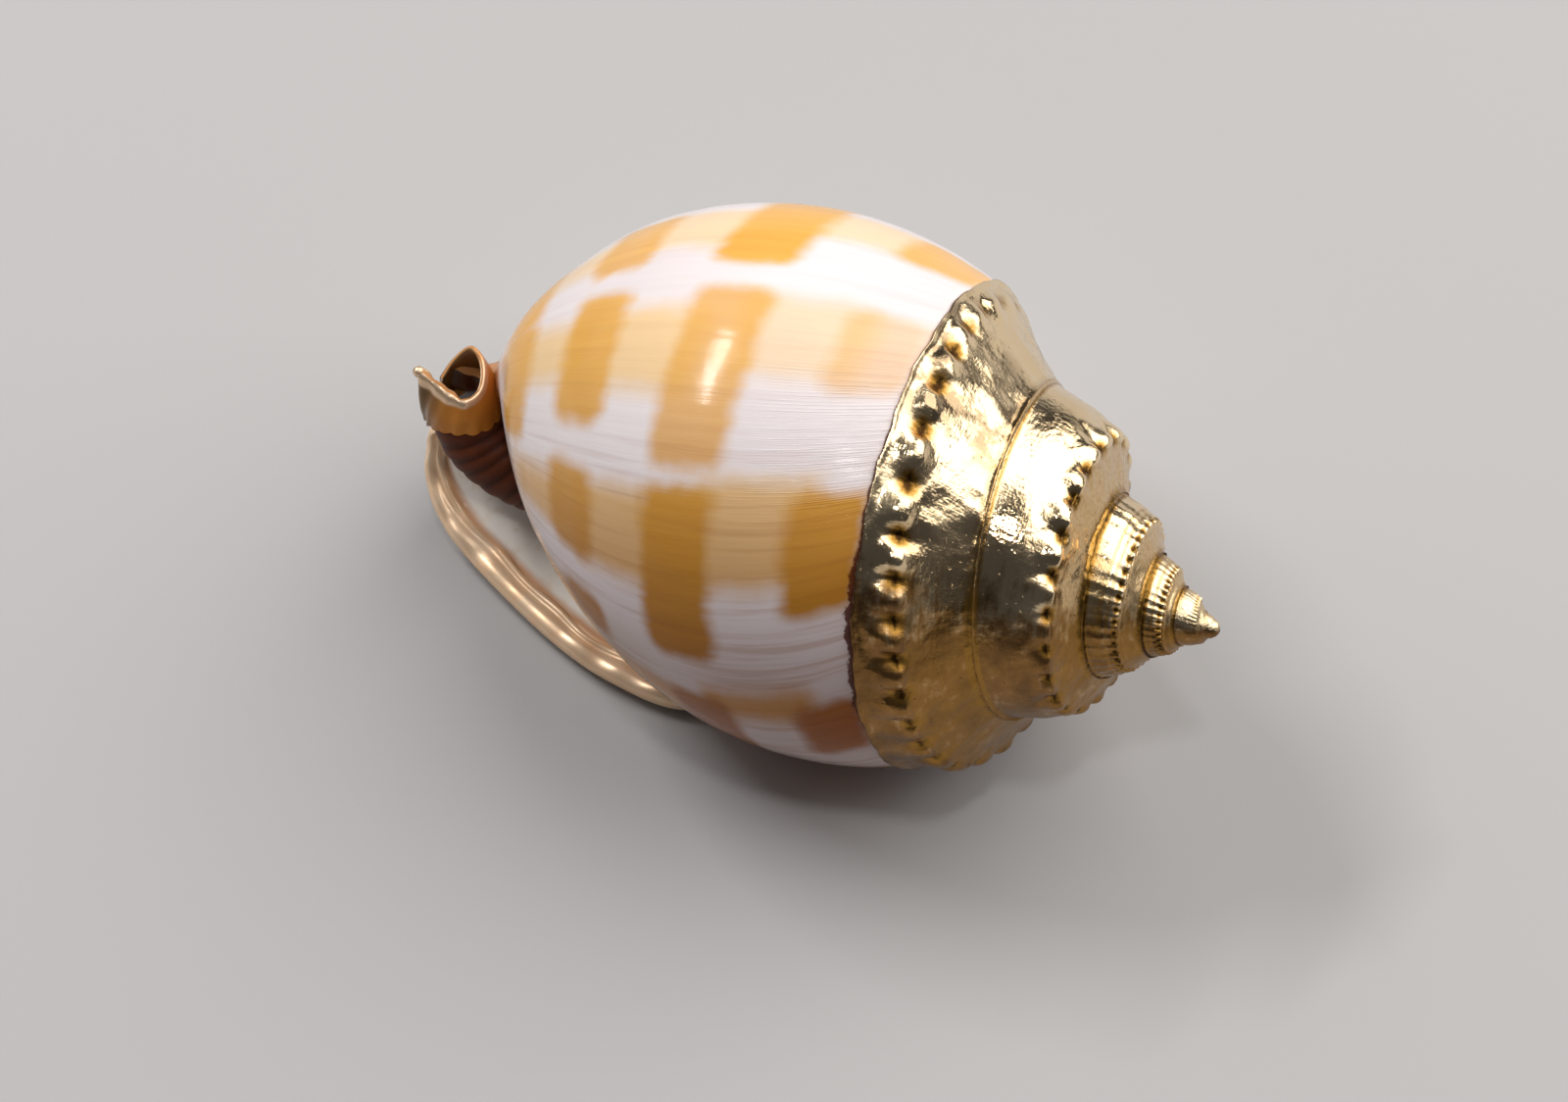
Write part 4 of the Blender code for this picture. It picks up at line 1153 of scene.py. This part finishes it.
class Finish:
    """A material whose nodes are made and linked by short calls."""

    def __init__(self, name):
        self.material = bpy.data.materials.new(name)
        self.material.use_nodes = True
        self.tree = self.material.node_tree
        self.place = self.node("ShaderNodeTexCoord", "Object")

    def feed(self, socket, value):
        if isinstance(value, Field):
            self.tree.links.new(value.socket, socket)
        else:
            socket.default_value = value

    def node(self, kind, output, inputs=(), **settings):
        made = self.tree.nodes.new(kind)
        for key, value in settings.items():
            setattr(made, key, value)
        for key, value in dict(inputs).items():
            self.feed(made.inputs[key], value)
        return Field(self, made.outputs[output])

    def value(self, name):
        return self.node("ShaderNodeAttribute", "Fac", attribute_name=name)

    def math(self, operation, a, b):
        return self.node("ShaderNodeMath", 0, {0: a, 1: b}, operation=operation)

    def grain(self, where, scale, detail=2.0, roughness=0.5):
        """Cloudy noise, from 0 to 1; where is a place or a pair of fields."""
        if isinstance(where, tuple):
            where = self.node("ShaderNodeCombineXYZ", "Vector", {"X": where[0], "Y": where[1]})
        return self.node("ShaderNodeTexNoise", "Fac", {"Vector": where, "Scale": scale, "Detail": detail,
                                                       "Roughness": roughness})

    def blend(self, share, a, b):
        """Colour a where the share is 0, colour b where it is 1."""
        a, b = (shade if isinstance(shade, Field) else colour(*shade) for shade in (a, b))
        return self.node("ShaderNodeMix", 2, {"Factor": share, 6: a, 7: b}, data_type="RGBA")

    def bump(self, height, strength, distance, under=None):
        inputs = {"Height": height, "Strength": strength, "Distance": distance}
        if under is not None:
            inputs["Normal"] = under
        return self.node("ShaderNodeBump", "Normal", inputs)

    def complete(self, **sockets):
        for key, value in sockets.items():
            self.feed(self.tree.nodes["Principled BSDF"].inputs[key.replace("_", " ")], value)
        print(self.material.name, len(self.tree.nodes), "nodes")
        return self.material


# %% [markdown]
# ## Glossy lime
# Cowries and bonnets have a glaze like porcelain over faint growth lines. We streak everything along the
# lip's own line, white to peach to orange, and let the distances from above switch between the colours.
# Lower down the colours are deeper: partly the dye of the real one, partly painted shade.

# %% White, peach and orange
lime = Finish("glossy_lime")
growth, level_in = lime.value("growth"), lime.value("level")
broad = lime.grain(lime.place, 240.0, 2.0)
ragged = lime.grain(lime.place, 900.0, 3.0)
streaks = lime.grain((growth * 0.45, level_in * 0.07), 1.0, 5.0, 0.62)
hairs = lime.grain((growth * 2.6, level_in * 0.07), 1.0, 3.0)
shift = (broad - 0.5) * 1.5 + (ragged - 0.5) * 0.4 + (streaks - 0.5) * 0.9
square = (lime.value("square_mm") + shift).step(-1.0, 0.8) * lime.value("square_dye")
tint = (lime.value("tint_mm") + shift).step(-1.5, 1.3) * lime.value("tint_dye")
# Painted shade: towards the lower side the white, the peach and the orange are painted darker, over deeper
# dye.
low_side = growth.step(100.0, 10.0)
high_white = lime.blend(streaks, (234, 221, 222), (244, 236, 236))
shaded_low_white = lime.blend(streaks, (190, 168, 164), (208, 190, 188))
white = lime.blend(growth.step(70.0, 0.0), high_white, shaded_low_white)
late_shade = level_in.step(38.0, 50.0) * growth.step(36.0, 14.0)
white = lime.blend(late_shade * 0.6, white, (166, 138, 98))
peach = lime.blend(low_side, (247, 208, 150), (186, 126, 60))
pale_orange = lime.blend(streaks, (230, 164, 72), (242, 188, 98))
deep_orange = lime.blend(streaks, (142, 82, 2), (172, 106, 14))
deepest_orange = lime.blend(streaks, (132, 64, 0), (162, 88, 4))
deep_orange = lime.blend(growth.step(22.0, 4.0), deep_orange, deepest_orange)
paint = lime.blend(tint, white, peach)
paint = lime.blend(square, paint, lime.blend(low_side, pale_orange, deep_orange))

# %% Pauses in growth, brown hairs, and the crust beside the metal
ARREST_LINES = ((61.5, 0.18), (56.0, 0.14), (31.5, 0.2), (45.0, 0.15), (20.5, 0.2), (8.0, 0.25), (-3.0, 0.35))
wander = (lime.grain(lime.place, 55.0, 1.0) - 0.5) * 5.0
patchy = broad.step(0.38, 0.68)
for line_at, darkness in ARREST_LINES:
    mark = abs(growth + wander - line_at).step(0.5, 0.1) * (patchy * darkness)
    paint = lime.blend(mark, paint, (150, 92, 52))
lines = lime.grain((growth * 0.42, level_in * 0.05), 1.0, 4.0, 0.5)
paint = lime.blend(lines.step(0.50, 0.68) * (low_side * 0.30 + 0.06), paint, (160, 98, 48))
paint = lime.blend(hairs.step(0.60, 0.74) * (low_side * 0.30), paint, (160, 104, 62))
in_front = (growth.step(92.0, 70.0) * 0.35 + growth.step(60.0, 36.0)) * growth.step(-8.0, 22.0)
crumbs = ragged * 0.5 + lime.grain(lime.place, 2400.0, 4.0, 0.7) * 0.5
crust = (lime.value("edge_mm") - (crumbs - 0.30) * (in_front * 1.5)).step(0.14, -0.06)
paint = lime.blend(crust * 0.92, paint, (84, 28, 4))

# %% Lip, throat, ridge and shield
on_ridge, on_shield, on_scroll = lime.value("on_ridge"), lime.value("on_shield"), lime.value("on_scroll")
on_bore, from_mouth = lime.value("on_bore"), lime.value("mouth_mm")
border = (lime.value("border_mm") + ragged * 0.2).step(0.62, 0.42)
paint = lime.blend(border, paint, (236, 206, 164))
cream = lime.blend(broad, (236, 216, 188), (246, 236, 222))
paint = lime.blend(lime.value("off_wall"), paint, lime.blend(lime.value("inside"), cream, (236, 196, 150)))
amber = lime.blend(broad, (176, 104, 36), (206, 140, 62))
paint = lime.blend(from_mouth.step(8.5, 5.0) * 0.9, paint, amber)
# The throat is painted dark brown, darker than the lime round the spout: painted shade deep in the bore.
paint = lime.blend(on_bore, paint, lime.blend(ragged, (70, 36, 14), (96, 54, 24)))
crests = lime.blend(ragged, (84, 40, 22), (108, 56, 32))
paint = lime.blend(on_ridge, paint, lime.blend(lime.value("ridge_crest"), (56, 25, 13), crests))
pearl = lime.blend(broad, (240, 230, 216), (252, 246, 238))
pearl = lime.blend(ragged.step(0.5, 0.75) * 0.35, pearl, (222, 190, 150))
from_rim = lime.value("rim_mm") + shift * 0.25
# Copper-brown beside the roll: the thin edge of the gilding, with painted shadow along the inside of the
# roll.
pearl = lime.blend(from_rim.step(2.5, 1.6) * 0.85, pearl, (196, 134, 78))
pearl = lime.blend(from_mouth.step(5.0, 3.4), pearl, (120, 70, 34))
paint = lime.blend(on_shield, paint, pearl)

# %% Scroll, and the breath of gold on its rim and on the shield's
left_to_right = lime.node("ShaderNodeSeparateXYZ", "X", {"Vector": lime.place})
# Darker olive to the left, amber to the right: partly its colour, partly painted shade on the left side.
olive_to_amber = (left_to_right.step(-0.0335, -0.0300) + (broad - 0.5) * 0.9).limited()
rolled_rim = lime.value("scroll_rim")
rolled = lime.blend(olive_to_amber, (122, 92, 52), (206, 132, 52))
# Inside the scroll: painted shade, darkest brown at the foot and lighter up towards the rim.
rolled_inside_shaded = lime.blend(lime.value("scroll_height"), (70, 36, 14), (172, 128, 68))
rolled = lime.blend(lime.value("scroll_inside"), rolled, rolled_inside_shaded)
rolled = lime.blend(rolled_rim, rolled, (244, 212, 176))
paint = lime.blend(on_scroll, paint, rolled)
gilt_rim = from_rim.step(1.65, 1.25) * on_shield * from_mouth.step(2.2, 2.9)
gilt = lime.math("MAXIMUM", gilt_rim * 0.45, on_scroll * (rolled_rim * 0.6 + 0.25))
rose = lime.blend(lime.grain(lime.place, 520.0, 3.0), (248, 198, 150), (255, 232, 202))
paint = lime.blend(gilt_rim, paint, rose)

# %% Growth lines to the touch, and gloss
near_metal = level_in.step(34.0, 26.0) * growth.step(55.0, 68.0) * growth.step(100.0, 86.0)
growth_lines = streaks * 0.8 + hairs * 0.22 + hairs.step(0.50, 0.66) * near_metal * 2.4
fine_relief = lime.bump(growth_lines, 0.30, 0.0001)
fine_relief = lime.bump(lime.grain(lime.place, 420.0, 1.0), 0.18, 0.00012, fine_relief)
shine = broad * 0.10 + 0.07 + (gilt + on_bore + on_ridge * 1.4) * 0.25 + gilt_rim * 0.14 + crust * 0.40
shell_finish = lime.complete(Base_Color=paint, Roughness=shine, Metallic=gilt * 0.9, Normal=fine_relief,
                             Specular_IOR_Level=0.16)

# %% [markdown]
# ## Pale gold
# Metal has no colour of its own apart from the tint of its reflections, so a flat gold looks like plastic.
# What makes it metal is what is uneven: orange peel from the bath, wrinkles, wiping marks along the growth,
# tarnish and painted shade in the pits, and painted dark reflection and shade across the middle and below.

# %% Colour of the metal
gold = Finish("pale_gold")
growth, run, low = gold.value("growth"), gold.value("run"), gold.value("low")
cloud = gold.grain(gold.place, 150.0, 3.0)
peel = gold.grain(gold.place, 1500.0, 2.0)
mottle = gold.grain(gold.place, 3200.0, 3.0, 0.6)
pitted = gold.grain(gold.place, 2300.0, 2.0).step(0.70, 0.76)
smears = gold.grain(gold.place, 330.0, 5.0, 0.68)
wiped = gold.grain((growth * 0.06, run * 1.3), 1.0, 4.0, 0.6)
metal = gold.blend(cloud, (240, 206, 152), (252, 232, 196))
# Painted reflection: a dark, smeared band across the middle of the turns, as if a dark room were mirrored
# there.
painted_dark_band = growth.step(20.0, 34.0) * growth.step(74.0, 58.0) * smears.step(0.44, 0.56)
metal = gold.blend(painted_dark_band * 0.75, metal, (128, 104, 76))
# Painted reflection and shade: the lower side is painted dark brown, mottled like tarnish, as if it mirrored
# a dark table.
painted_low_reflection = (low + (smears - 0.5) * 1.9 + (wiped - 0.5) * 1.2).step(0.10, 0.85) * low.step(0.0, 0.3)
low_reflection_brown = gold.blend(smears.step(0.30, 0.70), (156, 110, 50), (106, 70, 28))
metal = gold.blend(painted_low_reflection * 0.94, metal, low_reflection_brown)
# Tarnish with painted shade: the pits and grooves are painted brown to near black.
tarnish_and_shade = (gold.value("tarnish_and_shade") * (mottle + 0.45)).limited()
stain_and_shade = gold.blend(tarnish_and_shade.step(0.30, 0.75), (172, 128, 58), (66, 44, 20))
metal = gold.blend(tarnish_and_shade.step(0.05, 0.45), metal, stain_and_shade)
metal = gold.blend(pitted * 0.5, metal, (70, 46, 22))

# %% Orange peel, scratches and wrinkles
hatch = gold.grain((growth * 0.22, run * 4.5), 1.0, 3.0) + gold.grain((growth * 2.0, run), 1.0, 2.0) * 0.5
metal_relief = gold.bump(peel * 0.6 + mottle * 0.25 + hatch * 0.35 - pitted * 0.5, 0.50, 0.0001)
metal_relief = gold.bump(gold.grain(gold.place, 620.0, 3.0, 0.6), 0.26, 0.00035, metal_relief)
metal_shine = cloud.step(0.35, 0.7) * 0.16 + 0.10 + tarnish_and_shade * 0.25 + painted_low_reflection * 0.12
cap_finish = gold.complete(Base_Color=metal, Roughness=metal_shine, Metallic=1.0, Normal=metal_relief)

# %% Put the finishes on, and hand the pieces over
PIECES = ((shell, shell_finish, "shell", "shell"), (cap, cap_finish, "spire_cap", "gilding"))
for obj, finish, node, slot in PIECES:
    obj.data.materials.clear()
    obj.data.materials.append(finish)
    obj.data.polygons.foreach_set("material_index", np.zeros(len(obj.data.polygons), np.int32))
    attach(obj, "root")
    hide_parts(node)
print("handed over:", [obj.name for obj, *_ in PIECES])

# %% [markdown]
# ## Table, light and camera
# A shell is photographed on a plain ground with big soft lights, so that the glaze shows one calm highlight
# and the metal has something bright to mirror. One large lamp from behind on the right does most of the
# work, a narrow one gives the highlight on the squares, and a wide, weak one fills the left side. The camera
# looks down at the angle of the photograph.

# %% Table
TABLE_HALF = 1.5
corners = [(x * TABLE_HALF, y * TABLE_HALF, 0.0) for x, y in ((-1, -1), (1, -1), (1, 1), (-1, 1))]
table_mesh = bpy.data.meshes.new("table_top")
table_mesh.from_pydata(corners, [], [(0, 1, 2, 3)])
table_mesh.materials.append(Finish("pale_table").complete(Base_Color=(0.46, 0.45, 0.45, 1.0), Roughness=0.65))
table = bpy.data.objects.new("table_top", table_mesh)
bpy.context.scene.collection.objects.link(table)

# %% Light
AIM = Vector((0.0, 0.0, 0.02))
LAMPS = {"overhead": ((0.29, 0.35, 0.51), (0.86, 0.86), 6.2, (1.0, 0.975, 0.94)),
         "window": ((-0.45, 0.04, 0.54), (0.30, 0.03), 2.0, (1.0, 1.0, 1.0)),
         "ceiling": ((0.066, -0.14, 0.58), (0.05, 0.05), 0.38, (1.0, 1.0, 1.0)),
         "left": ((-0.52, 0.02, 0.30), (0.60, 0.50), 0.85, (1.0, 0.98, 0.96))}
for name, (position, size, power, tone) in LAMPS.items():
    lamp = bpy.data.lights.new(name, "AREA")
    lamp.shape, lamp.energy, lamp.color = "RECTANGLE", power, tone
    lamp.size, lamp.size_y = size
    light = bpy.data.objects.new(name, lamp)
    light.location = position
    light.rotation_euler = (AIM - Vector(position)).to_track_quat("-Z", "Y").to_euler()
    bpy.context.scene.collection.objects.link(light)
world = bpy.data.worlds.new("studio")
world.use_nodes = True
world.node_tree.nodes["Background"].inputs["Color"].default_value = (0.9, 0.92, 1.0, 1)
world.node_tree.nodes["Background"].inputs["Strength"].default_value = 0.06
bpy.context.scene.world = world
bpy.context.scene.view_settings.view_transform = "Standard"
print(len(LAMPS), "lamps")

# %% Camera
CAMERA_PLACE = np.array((66.17, -141.29, 230.6)) * MM
CAMERA_ELEVATION, CAMERA_SWING = math.radians(55.0), math.radians(26.2)
FOCAL_PIXELS, IMAGE_WIDTH, SENSOR = 3400.0, 1600.0, 36.0
camera_data = bpy.data.cameras.new("camera")
camera_data.sensor_width = SENSOR
camera_data.lens = FOCAL_PIXELS / IMAGE_WIDTH * SENSOR
camera_data.clip_start = 0.01
camera = bpy.data.objects.new("camera", camera_data)
camera.location = CAMERA_PLACE
camera.rotation_euler = (math.pi / 2 - CAMERA_ELEVATION, 0.0, CAMERA_SWING)
bpy.context.scene.collection.objects.link(camera)
bpy.context.scene.camera = camera
print("lens", round(camera_data.lens, 2), "mm")
